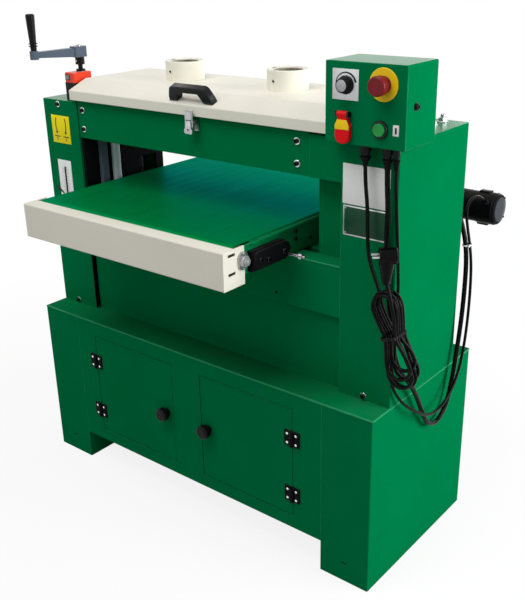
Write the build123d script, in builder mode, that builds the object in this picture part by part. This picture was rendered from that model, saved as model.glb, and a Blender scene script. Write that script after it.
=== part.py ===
from build123d import *
import os
from math import atan2, cos, degrees, radians, sin, tan

os.makedirs("parts", exist_ok=True)

# Frame: X is the machine's width, the front faces -Y and Z is up from the floor. Millimetres.

# Fits and sheet metal
fit = 0.05
clear = 0.3
sheet = 3.0
flange = 20.0
corner = 3.0
soft_edge = 1.2

# Base cabinet
base_width = 1100.0
base_depth = 455.0
base_height = 455.0
leg_width = 133.0
toe_gap = 84.0
foot_plate = 6.0
anchor_radius = 7.0
anchor_inset = 47.5
foot_slot_length = 14.0
foot_slot_width = 5.0
foot_slot_height = 49.0

# Doors of the base cabinet
door_centre = -5.5
hinge_offset = 341.0
stile_half = 50.5
door_bottom = 120.0
door_top_gap = 45.0
door_height = base_height - door_bottom - door_top_gap
door_gap = 2.0
door_rim = 8.0
door_rim_wall = 2.0
hinge_heights = (62.0, door_height - 74.3)
hinge_height = 40.0
hinge_leaf = 21.5
hinge_thickness = 4.0
hinge_radius = 5.0
hinge_pin = 2.0
knob_inset = 22.5
knob_height = door_height / 2
knob_reach = 28.0
knob_radius = 18.0
knob_shaft = 5.0
cam_length = 40.0
cam_width = 14.0
cam_thickness = 4.0

# Columns, side plates and panels
column_front = 157.0
column_rear = 136.0
housing_width = 82.0
belt_room = 61.0
side_plate = 8.0
recess_depth = 49.0
beam_gap = 6.0
beam_height = 120.0
beam_hole_inset = 176.0
lower_panel_recess = 15.0
shadow_gap = 12.0
head_height = 92.0
head_panel_recess = 4.0
panel_seam = 2.0
scale_slot_inset = 64.0
scale_slot_width = 6.0

# Table and feed belt
table_height = 826.0
throat = 116.0
belt_width = 624.0
belt_thickness = 2.0
roller_radius = 30.0
roller_front = -328.0
roller_rear = 320.0
roller_shaft = 10.0
belt_edge_gap = 3.0
table_plate = 6.0
table_rear = 345.0
bed_thickness = 8.0
bar_front = -388.0
bar_depth = 68.0
bar_height = 85.0
bar_lip = 38.0
bar_end = 4.0
bearing_radius = 20.0
bearing_length = 10.0
bearing_boss = 13.0
bearing_flange = 5.0
take_up_start = -306.0
take_up_end = -180.0
take_up_height = 46.0
take_up_thickness = 12.0
tracking_rod = 3.0
tracking_reach = 54.0

# Lift
lift_travel = 100.0
lift_front = -50.0
lift_rear = 80.0
carrier_width = 50.0
carrier_height = 50.0
carrier_gap = 10.0
screw_radius = 12.0
right_screw_inset = 31.0
post_radius = 12.0
post_inset = 16.0
post_y = -57.0
chain_radius = 24.0
chain_thickness = 3.0
chain_width = 8.0
chain_lift = 17.0

# Crank and position indicator
crank_inset = 35.0
crank_setback = 56.0
crank_radius = 133.0
crank_swing = 5.6
crank_journal = 10.0
indicator_width = 40.0
indicator_front = 39.0
indicator_rear = 20.0
indicator_block_height = 45.0
indicator_height = 25.0
crank_grip_length = 88.0
crank_pin = 4.0

# Drums and drive
drum_radius = 60.0
drum_spacing = 150.0
drum_lift = 48.0
drum_shaft = 17.5
drum_bearing = 38.0
drum_bearing_length = 22.0
pulley_radius = 50.0
drum_pulley_radius = 28.0
pulley_width = 20.0
vee_width = 13.0
vee_thickness = 8.0
vee_spacing = 28.0
motor_height = 250.0
motor_radius = 100.0
motor_length = 270.0
motor_inset = 87.0
motor_shaft = 14.0
motor_shaft_depth = 60.0
motor_foot_inset = 40.0

# Dust cover
cover_gap = 7.0
cover_left_overlap = 10.0
cover_right_gap = 4.0
cover_front = 168.0
cover_rear = 146.0
cover_face = 24.0
cover_rise = 24.0
cover_slope = 59.0
cover_wall = 2.5
port_radius = 49.0
port_wall = 6.0
port_height = 47.0
port_spacing = 328.0
port_x = -17.5
port_y = 15.5
handle_x = -2.0
handle_span = 128.0
handle_height = 40.0
handle_setback = 18.0
handle_section = 7.0
cover_hinge_x = (-235.0, 205.0)
cover_hinge_width = 60.0
cover_hinge_radius = 6.0

# Cover latch
latch_x = 5.0
latch_width = 25.0
latch_plate = 4.0
latch_ear = 3.5
latch_pin = 2.0
bail_wire = 1.5

# Control box
box_width = 182.0
box_depth = 116.0
box_height = 158.0
box_wall = 2.5
box_front_overhang = 40.0
box_side_overhang = 32.0
estop_radius = 19.0
estop_reach = 31.0
estop_stem = 10.0
estop_travel = 6.0
start_radius = 12.5
start_reach = 9.0
start_travel = 4.0
paddle_width = 34.0
paddle_height = 64.0
paddle_neck = 22.0
paddle_depth = 10.0
paddle_pivot = 2.5
paddle_knuckle = 6.0
speed_radius = 18.0
speed_reach = 18.0
speed_stem = 4.0

# Fasteners, glands and leads
screw_head = 5.5
screw_head_height = 5.0
washer_radius = 8.0
washer_thickness = 1.5
gland_drop = 24.0
mains_diameter = 8.0
motor_lead_diameter = 11.0
feed_lead_diameter = 7.0
hank_loops = 5
hank_radius = 26.0
hank_step = 8.8

# Places that follow from the sizes above
half_width = base_width / 2
half_depth = base_depth / 2
leg_inner = half_width - leg_width
leg_top = base_height - sheet
anchor_x = half_width - leg_width / 2
anchor_y = half_depth - anchor_inset
column_width = (base_width - housing_width - belt_width) / 2 - belt_room
column_inner = half_width - column_width
opening_right = column_inner - housing_width
left_wall = -column_inner + side_plate
right_wall = opening_right - side_plate
table_x = (opening_right - column_inner) / 2
head_y = (column_rear - column_front) / 2
head_bottom = table_height + throat
column_top = head_bottom + head_height
panel_top = column_top - sheet
roller_z = table_height - belt_thickness - roller_radius
belt_radius = roller_radius + belt_thickness
belt_bottom = roller_z - belt_radius
beam_top = belt_bottom - beam_gap
beam_bottom = beam_top - beam_height
recess_y = -column_front + recess_depth
crank_x = -column_inner - crank_inset
crank_y = -column_front + crank_setback
right_screw_x = opening_right + right_screw_inset
post_left = left_wall + post_inset
post_right = right_wall - post_inset
carrier_top = belt_bottom - carrier_gap
carrier_bottom = carrier_top - carrier_height
drum_z = head_bottom + drum_lift
drum_rows = (head_y - drum_spacing / 2, head_y + drum_spacing / 2)
vee_middle = half_width - column_width / 2
vee_rows = (vee_middle - vee_spacing / 2, vee_middle + vee_spacing / 2)
motor_y = head_y
cover_bottom = column_top + cover_gap
cover_top = cover_bottom + cover_face + cover_rise
box_right = half_width + box_side_overhang
box_left = box_right - box_width
box_front = -column_front - box_front_overhang
box_rear = box_front + box_depth
box_top = column_top + box_height
cover_left = -column_inner - cover_left_overlap
cover_right = box_left - cover_right_gap
table_inner = belt_width / 2 + belt_edge_gap
table_outer = table_inner + table_plate
bar_outer = table_outer + bar_end
bar_top = table_height - 1.0
bar_bottom = bar_top - bar_height

TURN = {"X": (0, 90, 0), "Y": (-90, 0, 0), "Z": (0, 0, 0)}


def block(x_ends, y_ends, z_ends, mode=Mode.ADD):
    """Put a box between pairs of limits into the part being built."""
    limits = (x_ends, y_ends, z_ends)
    with Locations(tuple((low + high) / 2 for low, high in limits)):
        Box(*(abs(high - low) for low, high in limits), mode=mode)


def round_bar(axis, at, radius, ends, mode=Mode.ADD):
    """Put a cylinder along an axis into the part being built; at holds the other two coordinates."""
    middle = list(at)
    middle.insert("XYZ".index(axis), sum(ends) / 2)
    with Locations(tuple(middle)):
        Cylinder(radius, abs(ends[1] - ends[0]), rotation=TURN[axis], mode=mode)


def keep(name, *pieces):
    """Label one node, a piece or a group of separate pieces, and write it to its own file."""
    solids = [piece.part for piece in pieces]
    node = solids[0] if len(solids) == 1 else Compound(children=solids)
    node.label = name
    export_step(node, f"parts/{name}.step")


# Base cabinet: two box legs, a front panel with two door openings, a back and floor sheet, a top plate
shaft_hole_radius = motor_shaft + 20.0
for side, leg_name in ((-1, "left_leg"), (1, "right_leg")):
    with BuildPart() as leg:
        block((side * leg_inner, side * half_width), (-half_depth, half_depth), (0, leg_top))
        upright = leg.edges().filter_by(Axis.Z).sort_by(Axis.X)
        fillet(upright[:2] if side < 0 else upright[-2:], corner)
        inside = (side * (leg_inner + sheet), side * (half_width - sheet))
        block(inside, (sheet - half_depth, half_depth - sheet), (foot_plate, leg_top), Mode.SUBTRACT)
        for row in (-anchor_y, anchor_y):
            round_bar("Z", (side * anchor_x, row), anchor_radius, (0, foot_plate), Mode.SUBTRACT)
        with Locations((side * anchor_x, -half_depth + sheet / 2, foot_slot_height)):
            Box(foot_slot_length, sheet, foot_slot_width, mode=Mode.SUBTRACT)
        if side > 0:
            wall_ends = (leg_inner, leg_inner + sheet)
            round_bar("X", (motor_y, motor_height), shaft_hole_radius, wall_ends, Mode.SUBTRACT)
    keep(leg_name, leg)

door_edge_gap = door_gap / 2
door_top = door_bottom + door_height
with BuildPart() as base_front_panel:
    block((-leg_inner, leg_inner), (-half_depth, sheet - half_depth), (toe_gap, leg_top))
    for side in (-1, 1):
        opening_x = (
            door_centre + side * (stile_half - door_gap),
            door_centre + side * (hinge_offset + door_edge_gap),
        )
        opening_z = (door_bottom - door_gap, door_top + door_gap)
        block(opening_x, (-half_depth, sheet - half_depth), opening_z, Mode.SUBTRACT)
keep("base_front_panel", base_front_panel)

with BuildPart() as base_back_panel:
    block((-leg_inner, leg_inner), (half_depth - sheet, half_depth), (toe_gap, leg_top))
    block((-leg_inner, leg_inner), (sheet - half_depth, half_depth), (toe_gap, toe_gap + sheet))
keep("base_back_panel", base_back_panel)

vee_room = 12.0
vee_way_x = (vee_rows[0] - pulley_width / 2 - vee_room, vee_rows[1] + pulley_width / 2 + vee_room)
vee_way_y = (head_y - pulley_radius - drum_spacing / 3, head_y + pulley_radius + drum_spacing / 3)
with BuildPart() as base_top_plate:
    block((-half_width, half_width), (-half_depth, half_depth), (leg_top, base_height))
    fillet(base_top_plate.edges().filter_by(Axis.Z), corner)
    fillet(base_top_plate.edges().group_by(Axis.Z)[-1], soft_edge)
    block(vee_way_x, vee_way_y, (leg_top, base_height), Mode.SUBTRACT)
keep("base_top_plate", base_top_plate)

# Door hinges: each leaf is a plate with its own knuckles; the frame's leaf carries the pin
hinge_axis_y = -half_depth - hinge_radius
hinge_zs = tuple(door_bottom + rise for rise in hinge_heights)
knuckle_gap = 0.4
outer_knuckles = ((-hinge_height / 2, -hinge_height / 6), (hinge_height / 6, hinge_height / 2))
middle_knuckle = ((-hinge_height / 6 + knuckle_gap, hinge_height / 6 - knuckle_gap),)


def door_leaf(axis_x, middle_z, direction, knuckles):
    """Put a hinge leaf that reaches along X in the given direction into the part being built."""
    leaf_y = (-half_depth - hinge_thickness, -half_depth)
    plate_start = axis_x + direction * (hinge_radius + 0.5)
    ends_z = (middle_z - hinge_height / 2, middle_z + hinge_height / 2)
    block((plate_start, axis_x + direction * hinge_leaf), leaf_y, ends_z)
    for low, high in knuckles:
        block((axis_x, plate_start), leaf_y, (middle_z + low, middle_z + high))
        round_bar("Z", (axis_x, hinge_axis_y), hinge_radius, (middle_z + low, middle_z + high))


frame_leaves = []
for side in (-1, 1):
    hinge_x = door_centre + side * hinge_offset
    for hinge_z in hinge_zs:
        with BuildPart() as frame_leaf:
            door_leaf(hinge_x, hinge_z, side, outer_knuckles)
            pin_ends = (hinge_z - hinge_height / 2, hinge_z + hinge_height / 2)
            round_bar("Z", (hinge_x, hinge_axis_y), hinge_pin, pin_ends)
        frame_leaves.append(frame_leaf)

# Doors: a shallow tray flush with the front panel, with its own hinge leaves, and a knob with a cam
door_back = -half_depth + sheet + door_rim
cam_y = (door_back + 1.0, door_back + 1.0 + cam_thickness)
for side, hand in ((-1, "left"), (1, "right")):
    hinge_x = door_centre + side * hinge_offset
    door_x = (door_centre + side * stile_half, hinge_x - side * door_edge_gap)
    knob_x = door_x[0] + side * knob_inset
    knob_z = door_bottom + knob_height
    with BuildPart() as door:
        block(door_x, (-half_depth, door_back), (door_bottom, door_top))
        fillet(door.faces().sort_by(Axis.Y)[0].edges(), soft_edge)
        tray_x = (door_x[0] + side * door_rim_wall, door_x[1] - side * door_rim_wall)
        tray_z = (door_bottom + door_rim_wall, door_top - door_rim_wall)
        block(tray_x, (sheet - half_depth, door_back), tray_z, Mode.SUBTRACT)
        door_sheet = (-half_depth, sheet - half_depth)
        round_bar("Y", (knob_x, knob_z), knob_shaft + fit, door_sheet, Mode.SUBTRACT)
    door_pieces = [door]
    for hinge_z in hinge_zs:
        with BuildPart() as moving_leaf:
            door_leaf(hinge_x, hinge_z, -side, middle_knuckle)
            knuckle_ends = (hinge_z - hinge_height / 6, hinge_z + hinge_height / 6)
            round_bar("Z", (hinge_x, hinge_axis_y), hinge_pin + fit, knuckle_ends, Mode.SUBTRACT)
        door_pieces.append(moving_leaf)
    keep(f"{hand}_door", *door_pieces)
    with BuildPart() as door_knob:
        neck_front = -half_depth - 0.4 * knob_reach
        round_bar("Y", (knob_x, knob_z), 0.62 * knob_radius, (neck_front, -half_depth - clear))
        round_bar("Y", (knob_x, knob_z), knob_radius, (-half_depth - knob_reach, neck_front))
        knob_rims = door_knob.edges().filter_by(GeomType.CIRCLE)
        knob_rims = knob_rims.filter_by_position(Axis.Y, -half_depth - knob_reach, neck_front)
        fillet(knob_rims.sort_by(Axis.Y)[0], 5.0)
        round_bar("Y", (knob_x, knob_z), knob_shaft, (-half_depth - clear, cam_y[1]))
        cam_z = (knob_z - cam_width / 2, knob_z + cam_length)
        block((knob_x - cam_width / 2, knob_x + cam_width / 2), cam_y, cam_z)
    keep(f"{hand}_door_knob", door_knob)

# Left column: a folded sheet open towards the machine, with the scale slot in its front
slot_x = -half_width + scale_slot_inset
slot_bottom = carrier_top - 17.0
slot_top = slot_bottom + lift_travel + 19.0
with BuildPart() as left_column:
    block((-half_width, -column_inner), (-column_front, column_rear), (base_height, column_top))
    fillet(left_column.edges().filter_by(Axis.Z).sort_by(Axis.X)[:2], corner)
    fillet(left_column.faces().sort_by(Axis.Z)[-1].edges(), soft_edge)
    hollow_x = (-half_width + sheet, -column_inner)
    block(hollow_x, (sheet - column_front, column_rear - sheet), (base_height, panel_top), Mode.SUBTRACT)
    flange_x = (-column_inner - sheet, -column_inner)
    block(flange_x, (sheet - column_front, sheet - column_front + flange), (base_height, panel_top))
    block(flange_x, (column_rear - sheet - flange, column_rear - sheet), (base_height, panel_top))
    slot_ends = (slot_x - scale_slot_width / 2, slot_x + scale_slot_width / 2)
    block(slot_ends, (-column_front, sheet - column_front), (slot_bottom, slot_top), Mode.SUBTRACT)
    round_bar("Z", (crank_x, crank_y), screw_radius + 2.0, (panel_top, column_top), Mode.SUBTRACT)
keep("left_column", left_column)

# Right column: wider over the head, where it houses the drum pulleys, with a recess beside the table
with BuildPart() as right_column:
    with BuildSketch(Plane.XZ.offset(column_front)):
        with BuildLine():
            Polyline(
                (column_inner, base_height),
                (half_width, base_height),
                (half_width, column_top),
                (opening_right, column_top),
                (opening_right, head_bottom),
                (column_inner, head_bottom),
                close=True,
            )
        make_face()
    extrude(amount=-(column_front + column_rear))
    fillet(right_column.edges().filter_by(Axis.Z).sort_by(Axis.X)[-2:], corner)
    fillet(right_column.faces().sort_by(Axis.Z)[-1].edges(), soft_edge)
    deep = (sheet - column_front, column_rear - sheet)
    block((column_inner, half_width - sheet), deep, (base_height, panel_top), Mode.SUBTRACT)
    block((opening_right, column_inner), deep, (head_bottom, panel_top), Mode.SUBTRACT)
    back_x = (opening_right, half_width - sheet)
    block(back_x, (column_rear - sheet, column_rear), (base_height, column_top))
    wall_x = (column_inner, column_inner + sheet)
    floor_x = (opening_right, column_inner + sheet)
    recess_run = (sheet - column_front, recess_y + sheet)
    block(wall_x, recess_run, (beam_top, head_bottom))
    block(floor_x, (recess_y, recess_y + sheet), (beam_top, head_bottom))
    block(floor_x, recess_run, (head_bottom, head_bottom + sheet))
    block(wall_x, (sheet - column_front, sheet - column_front + flange), (base_height, beam_top))
keep("right_column", right_column)

# Side plates: they carry the drum bearings and let the lift carriers and the chain through
plate_front = -column_front + head_panel_recess + sheet
slot_room = 3.0
carrier_rows = (lift_front, lift_rear)
chain_z = base_height + chain_lift
chain_way_z = (chain_z - 6.0, chain_z + chain_width + 6.0)


def carrier_ways(x_ends):
    """Cut the upright ways of both lift carriers out of the side plate being built."""
    for row in carrier_rows:
        way_y = (row - carrier_width / 2 - slot_room, row + carrier_width / 2 + slot_room)
        way_z = (carrier_bottom - slot_room, carrier_top + lift_travel + slot_room)
        block(x_ends, way_y, way_z, Mode.SUBTRACT)


chain_reach = chain_radius + chain_thickness + 6.0
lower_front = -column_front + lower_panel_recess + sheet + clear
with BuildPart() as left_side_plate:
    plate_x = (-column_inner, left_wall)
    block(plate_x, (lower_front, column_rear), (base_height, panel_top))
    block(plate_x, (plate_front, lower_front), (beam_bottom + sheet + clear, panel_top))
    carrier_ways(plate_x)
    block(plate_x, (crank_y - chain_reach, lift_rear + chain_reach), chain_way_z, Mode.SUBTRACT)
keep("left_side_plate", left_side_plate)

with BuildPart() as right_side_plate:
    plate_x = (right_wall, opening_right)
    block(plate_x, (lower_front, column_rear), (base_height, beam_top - sheet - clear))
    block(plate_x, (recess_y, column_rear), (base_height, head_bottom))
    block(plate_x, (plate_front, column_rear), (head_bottom, panel_top))
    carrier_ways(plate_x)
    block(plate_x, (crank_y - chain_reach, lift_rear + chain_reach), chain_way_z, Mode.SUBTRACT)
    for row in drum_rows:
        round_bar("X", (row, drum_z), drum_shaft + 5.0, plate_x, Mode.SUBTRACT)
keep("right_side_plate", right_side_plate)

# Panels between the columns
with BuildPart() as front_beam:
    block((-column_inner, column_inner), (-column_front, sheet - column_front), (beam_bottom, beam_top))
    ledge_x = (left_wall + clear, column_inner)
    block(ledge_x, (sheet - column_front, recess_y), (beam_top - sheet, beam_top))
    lip_y = (sheet - column_front, sheet - column_front + lower_panel_recess)
    block((left_wall + clear, column_inner), lip_y, (beam_bottom, beam_bottom + sheet))
    fillet(front_beam.edges().filter_by(Axis.X).group_by(Axis.Y)[0], soft_edge)
    beam_hole_at = (column_inner - beam_hole_inset, beam_bottom + 21.0)
    round_bar("Y", beam_hole_at, 3.5, (-column_front, sheet - column_front), Mode.SUBTRACT)
keep("front_beam", front_beam)

lower_panel_y = (-column_front + lower_panel_recess, -column_front + lower_panel_recess + sheet)
with BuildPart() as lower_front_panel:
    block((panel_seam - column_inner, column_inner), lower_panel_y, (base_height, beam_bottom))
keep("lower_front_panel", lower_front_panel)

rear_panel_y = (column_rear, column_rear + sheet)
with BuildPart() as rear_panel:
    block((-column_inner, opening_right), rear_panel_y, (base_height, beam_top))
keep("rear_panel", rear_panel)

head_panel_x = (-column_inner + clear, opening_right - panel_seam)
head_front_y = (-column_front + head_panel_recess, plate_front)
with BuildPart() as head_front_panel:
    block(head_panel_x, head_front_y, (head_bottom, panel_top))
    fillet(head_front_panel.faces().sort_by(Axis.Y)[0].edges(), soft_edge)
    fold_x = (left_wall + clear, right_wall - clear)
    block(fold_x, (plate_front, plate_front + 5.0), (head_bottom, head_bottom + sheet))
keep("head_front_panel", head_front_panel)

with BuildPart() as head_rear_panel:
    block((-column_inner, opening_right), rear_panel_y, (head_bottom, panel_top))
keep("head_rear_panel", head_rear_panel)

# Lift: guide posts, lead screws with sprockets, their bearings, the chain and the table's carriers
post_top = head_bottom - 1.0
post_bracket_height = 16.0
rail_width = 22.0
rail_thickness = 12.0
rail_front = post_y - post_radius - 12.0 - rail_width
with BuildPart() as guide_posts:
    for post_x in (post_left, post_right):
        round_bar("Z", (post_x, post_y), post_radius, (base_height, post_top))
    rail_x = (left_wall, left_wall + rail_thickness)
    block(rail_x, (rail_front, rail_front + rail_width), (base_height, post_top))
keep("guide_posts", guide_posts)

screw_seat = base_height + 1.0
screw_bearing_radius = 2 * screw_radius
screw_bearing_height = 12.0
steady_bottom = carrier_top + lift_travel + 14.0
steady_height = 14.0
screw_places = {
    "front_right_screw": (right_screw_x, lift_front),
    "rear_left_screw": (crank_x, lift_rear),
    "rear_right_screw": (right_screw_x, lift_rear),
}


def lead_screw(place, top):
    """Put a lead screw with its sprocket into the part being built."""
    round_bar("Z", place, screw_radius, (screw_seat, top))
    round_bar("Z", place, chain_radius - clear, (chain_z + 1.0, chain_z + chain_width - 1.0))


for screw_name, place in screw_places.items():
    with BuildPart() as screw:
        lead_screw(place, steady_bottom + steady_height + 4.0)
    keep(screw_name, screw)

bearings = []
for place in ((crank_x, crank_y), *screw_places.values()):
    with BuildPart() as foot_bearing:
        foot_z = (base_height, base_height + screw_bearing_height)
        round_bar("Z", place, screw_bearing_radius, foot_z)
        round_bar("Z", place, screw_radius + fit, foot_z, Mode.SUBTRACT)
    bearings.append(foot_bearing)
for place in screw_places.values():
    plate_face = -column_inner if place[0] < 0 else opening_right
    far_side = place[0] - 20.0 if place[0] < 0 else place[0] + 20.0
    with BuildPart() as steady:
        steady_z = (steady_bottom, steady_bottom + steady_height)
        block((far_side, plate_face), (place[1] - 20.0, place[1] + 20.0), steady_z)
        round_bar("Z", place, screw_radius + fit, steady_z, Mode.SUBTRACT)
    bearings.append(steady)
for post_x, wall in ((post_left, left_wall), (post_right, right_wall)):
    far_side = post_x + (post_radius + 4.0) * (1 if post_x > wall else -1)
    with BuildPart() as post_bracket:
        bracket_z = (post_top - post_bracket_height, post_top)
        bracket_y = (post_y - post_radius - 4.0, post_y + post_radius + 4.0)
        block((wall, far_side), bracket_y, bracket_z)
        round_bar("Z", (post_x, post_y), post_radius + fit, bracket_z, Mode.SUBTRACT)
    bearings.append(post_bracket)
for row in drum_rows:
    for wall, inward in ((left_wall, 1), (right_wall, -1)):
        with BuildPart() as drum_housing:
            housing_ends = (wall, wall + inward * drum_bearing_length)
            round_bar("X", (row, drum_z), drum_bearing, housing_ends)
            round_bar("X", (row, drum_z), drum_shaft + fit, housing_ends, Mode.SUBTRACT)
        bearings.append(drum_housing)
keep("bearing_blocks", *bearings)

chain_places = ((crank_x, crank_y), *screw_places.values())
with BuildPart() as lift_chain:
    with BuildSketch(Plane.XY.offset(chain_z)):
        with Locations(*chain_places):
            Circle(chain_radius + chain_thickness)
        make_hull()
    extrude(amount=chain_width)
    with BuildSketch(Plane.XY.offset(chain_z)):
        with Locations(*chain_places):
            Circle(chain_radius)
        make_hull()
    extrude(amount=chain_width, mode=Mode.SUBTRACT)
keep("lift_chain", lift_chain)

# Table: side plates, slider bed and the two lift carriers
carrier_end = 22.0
lug_reach = slot_x - 10.0
carrier_z = (carrier_bottom, carrier_top)
table_pieces = []
for direction in (-1, 1):
    with BuildPart() as table_side:
        plate_x = (table_x + direction * table_inner, table_x + direction * table_outer)
        block(plate_x, (bar_front + sheet + 3.0, table_rear), (belt_bottom - 3.0, table_height - 4.0))
        for row in carrier_rows:
            lug_y = (row - carrier_width / 2, row + carrier_width / 2)
            block(plate_x, lug_y, (carrier_top, belt_bottom))
        for roller_y in (roller_front, roller_rear):
            round_bar("X", (roller_y, roller_z), roller_shaft + 3.0, plate_x, Mode.SUBTRACT)
    table_pieces.append(table_side)
with BuildPart() as slider_bed:
    bed_z = (table_height - belt_thickness - clear - bed_thickness, table_height - belt_thickness - clear)
    bed_y = (roller_front + roller_radius + 8.0, roller_rear - roller_radius - 8.0)
    block((table_x - table_inner, table_x + table_inner), bed_y, bed_z)
table_pieces.append(slider_bed)
carrier_x = (crank_x - carrier_end, right_screw_x + carrier_end)
with BuildPart() as front_carrier:
    block(carrier_x, (lift_front - carrier_width / 2, lift_front + carrier_width / 2), carrier_z)
    block((lug_reach, crank_x + carrier_end), (crank_y - 20.0, lift_front), carrier_z)
    for place in ((crank_x, crank_y), screw_places["front_right_screw"]):
        round_bar("Z", place, screw_radius + fit, carrier_z, Mode.SUBTRACT)
    for post_x in (post_left, post_right):
        round_bar("Z", (post_x, post_y), post_radius + fit, carrier_z, Mode.SUBTRACT)
with BuildPart() as rear_carrier:
    block(carrier_x, (lift_rear - carrier_width / 2, lift_rear + carrier_width / 2), carrier_z)
    for screw_name in ("rear_left_screw", "rear_right_screw"):
        round_bar("Z", screw_places[screw_name], screw_radius + fit, carrier_z, Mode.SUBTRACT)
table_pieces += [front_carrier, rear_carrier]
keep("table_frame", *table_pieces)

# Front bar: a folded cream channel with closed ends
bar_rear = bar_front + bar_depth
with BuildPart() as front_bar:
    block((table_x - bar_outer, table_x + bar_outer), (bar_front, bar_rear), (bar_bottom, bar_top))
    fillet(front_bar.edges().filter_by(Axis.X).sort_by(Axis.Y)[:2], corner)
    bar_inside = (table_x - table_outer, table_x + table_outer)
    block(bar_inside, (bar_front + sheet, bar_rear), (bar_bottom + sheet, bar_top - sheet), Mode.SUBTRACT)
    block(bar_inside, (bar_front + bar_lip, bar_rear), (bar_top - sheet, bar_top), Mode.SUBTRACT)
    for direction in (-1, 1):
        end_x = (table_x + direction * table_outer, table_x + direction * bar_outer)
        round_bar("X", (roller_front, roller_z), roller_shaft + 3.0, end_x, Mode.SUBTRACT)
        for slot_z in (bar_top - 11.0, bar_top - 52.0):
            slot_y = (bar_front + 16.0, bar_front + 38.0)
            block(end_x, slot_y, (slot_z - 3.0, slot_z + 3.0), Mode.SUBTRACT)
keep("front_bar", front_bar)

# Table fittings: roller bearings, take-up brackets, the tracking rod and the scale needle
fittings = []
for direction in (-1, 1):
    face = table_x + direction * bar_outer
    with BuildPart() as front_bearing:
        bearing_x = (face, face + direction * bearing_length)
        with BuildSketch(Plane.YZ.offset(min(face, face + direction * bearing_flange))):
            with Locations((roller_front, roller_z)):
                SlotOverall(2 * bearing_radius, 2 * bearing_boss + 2.0, rotation=90)
        extrude(amount=bearing_flange)
        round_bar("X", (roller_front, roller_z), bearing_boss, bearing_x)
        round_bar("X", (roller_front, roller_z), roller_shaft + fit, bearing_x, Mode.SUBTRACT)
    plate_face = table_x + direction * table_outer
    with BuildPart() as take_up:
        bracket_x = (plate_face, plate_face + direction * take_up_thickness)
        round_end = take_up_height / 2
        bracket_z = (roller_z - 32.0, roller_z - 32.0 + take_up_height)
        block(bracket_x, (take_up_start, take_up_end - round_end), bracket_z)
        round_bar("X", (take_up_end - round_end, sum(bracket_z) / 2), round_end, bracket_x)
        if direction > 0:
            rod_at = (take_up_end - round_end / 2, bracket_z[0] + 12.0)
            rod_end = bracket_x[1] + tracking_reach
            round_bar("X", rod_at, tracking_rod, (bracket_x[1], rod_end))
            round_bar("X", rod_at, 2.4 * tracking_rod, (rod_end - 14.0, rod_end - 6.0))
    fittings += [front_bearing, take_up]
with BuildPart() as rear_bearing:
    bearing_x = (table_x - table_outer - bearing_length, table_x - table_outer)
    round_bar("X", (roller_rear, roller_z), bearing_radius, bearing_x)
    round_bar("X", (roller_rear, roller_z), roller_shaft + fit, bearing_x, Mode.SUBTRACT)
needle_z = carrier_top - 9.0
with BuildPart() as scale_needle:
    round_bar("Y", (slot_x, needle_z), scale_slot_width / 2 - 0.5, (-column_front - 6.0, crank_y - 20.0))
    needle_y = (-column_front - 6.0, -column_front - 3.0)
    block((slot_x - 14.0, slot_x + 14.0), needle_y, (needle_z - 2.0, needle_z + 2.0))
fittings += [rear_bearing, scale_needle]
keep("table_fittings", *fittings)

# Feed belt and its rollers
with BuildPart() as feed_belt:
    loop_planes = Plane.YZ.offset(table_x - belt_width / 2)
    for radius, mode in ((belt_radius, Mode.ADD), (roller_radius, Mode.SUBTRACT)):
        with BuildSketch(loop_planes):
            with Locations((roller_front, roller_z), (roller_rear, roller_z)):
                Circle(radius)
            make_hull()
        extrude(amount=belt_width, mode=mode)
keep("feed_belt", feed_belt)

gear_head = 92.0
gear_length = 92.0
gear_face = table_x + table_outer
roller_ends = (table_x - belt_width / 2 - 1.0, table_x + belt_width / 2 + 1.0)
shaft_left = table_x - bar_outer - bearing_length + 2.0
with BuildPart() as front_roller:
    round_bar("X", (roller_front, roller_z), roller_radius - clear, roller_ends)
    shaft_right = table_x + bar_outer + bearing_length - 2.0
    round_bar("X", (roller_front, roller_z), roller_shaft, (shaft_left, shaft_right))
keep("front_roller", front_roller)
with BuildPart() as drive_roller:
    round_bar("X", (roller_rear, roller_z), roller_radius - clear, roller_ends)
    drive_shaft = (shaft_left + bar_end, gear_face + 0.7 * gear_length)
    round_bar("X", (roller_rear, roller_z), roller_shaft, drive_shaft)
keep("drive_roller", drive_roller)

# Feed gearmotor on the right end of the drive roller
feed_motor_radius = 38.0
feed_motor_end = half_width + 8.0
feed_entry_way = Vector(0, -0.84, 0.54).normalized()
feed_entry_from = Vector(feed_motor_end - 20.0, roller_rear, roller_z)
feed_entry = feed_entry_from + feed_entry_way * 56.0
feed_run_in = feed_entry + feed_entry_way * 18.0
with BuildPart() as feed_motor:
    head_half = gear_head / 2
    gear_y = (roller_rear - head_half, roller_rear + head_half)
    block((gear_face, gear_face + gear_length), gear_y, (roller_z - head_half, roller_z + head_half))
    fillet(feed_motor.edges().filter_by(Axis.X), 8.0)
    round_bar("X", (roller_rear, roller_z), feed_motor_radius, (gear_face + gear_length, feed_motor_end))
    fillet(feed_motor.edges().filter_by(GeomType.CIRCLE).sort_by(Axis.X)[-1], 5.0)
    with BuildSketch(Plane(feed_entry_from, z_dir=feed_entry_way)):
        Circle(7.0)
    extrude(amount=56.0)
    shaft_bore = (gear_face, gear_face + 0.75 * gear_length)
    round_bar("X", (roller_rear, roller_z), roller_shaft + fit, shaft_bore, Mode.SUBTRACT)
keep("feed_motor", feed_motor)

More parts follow.
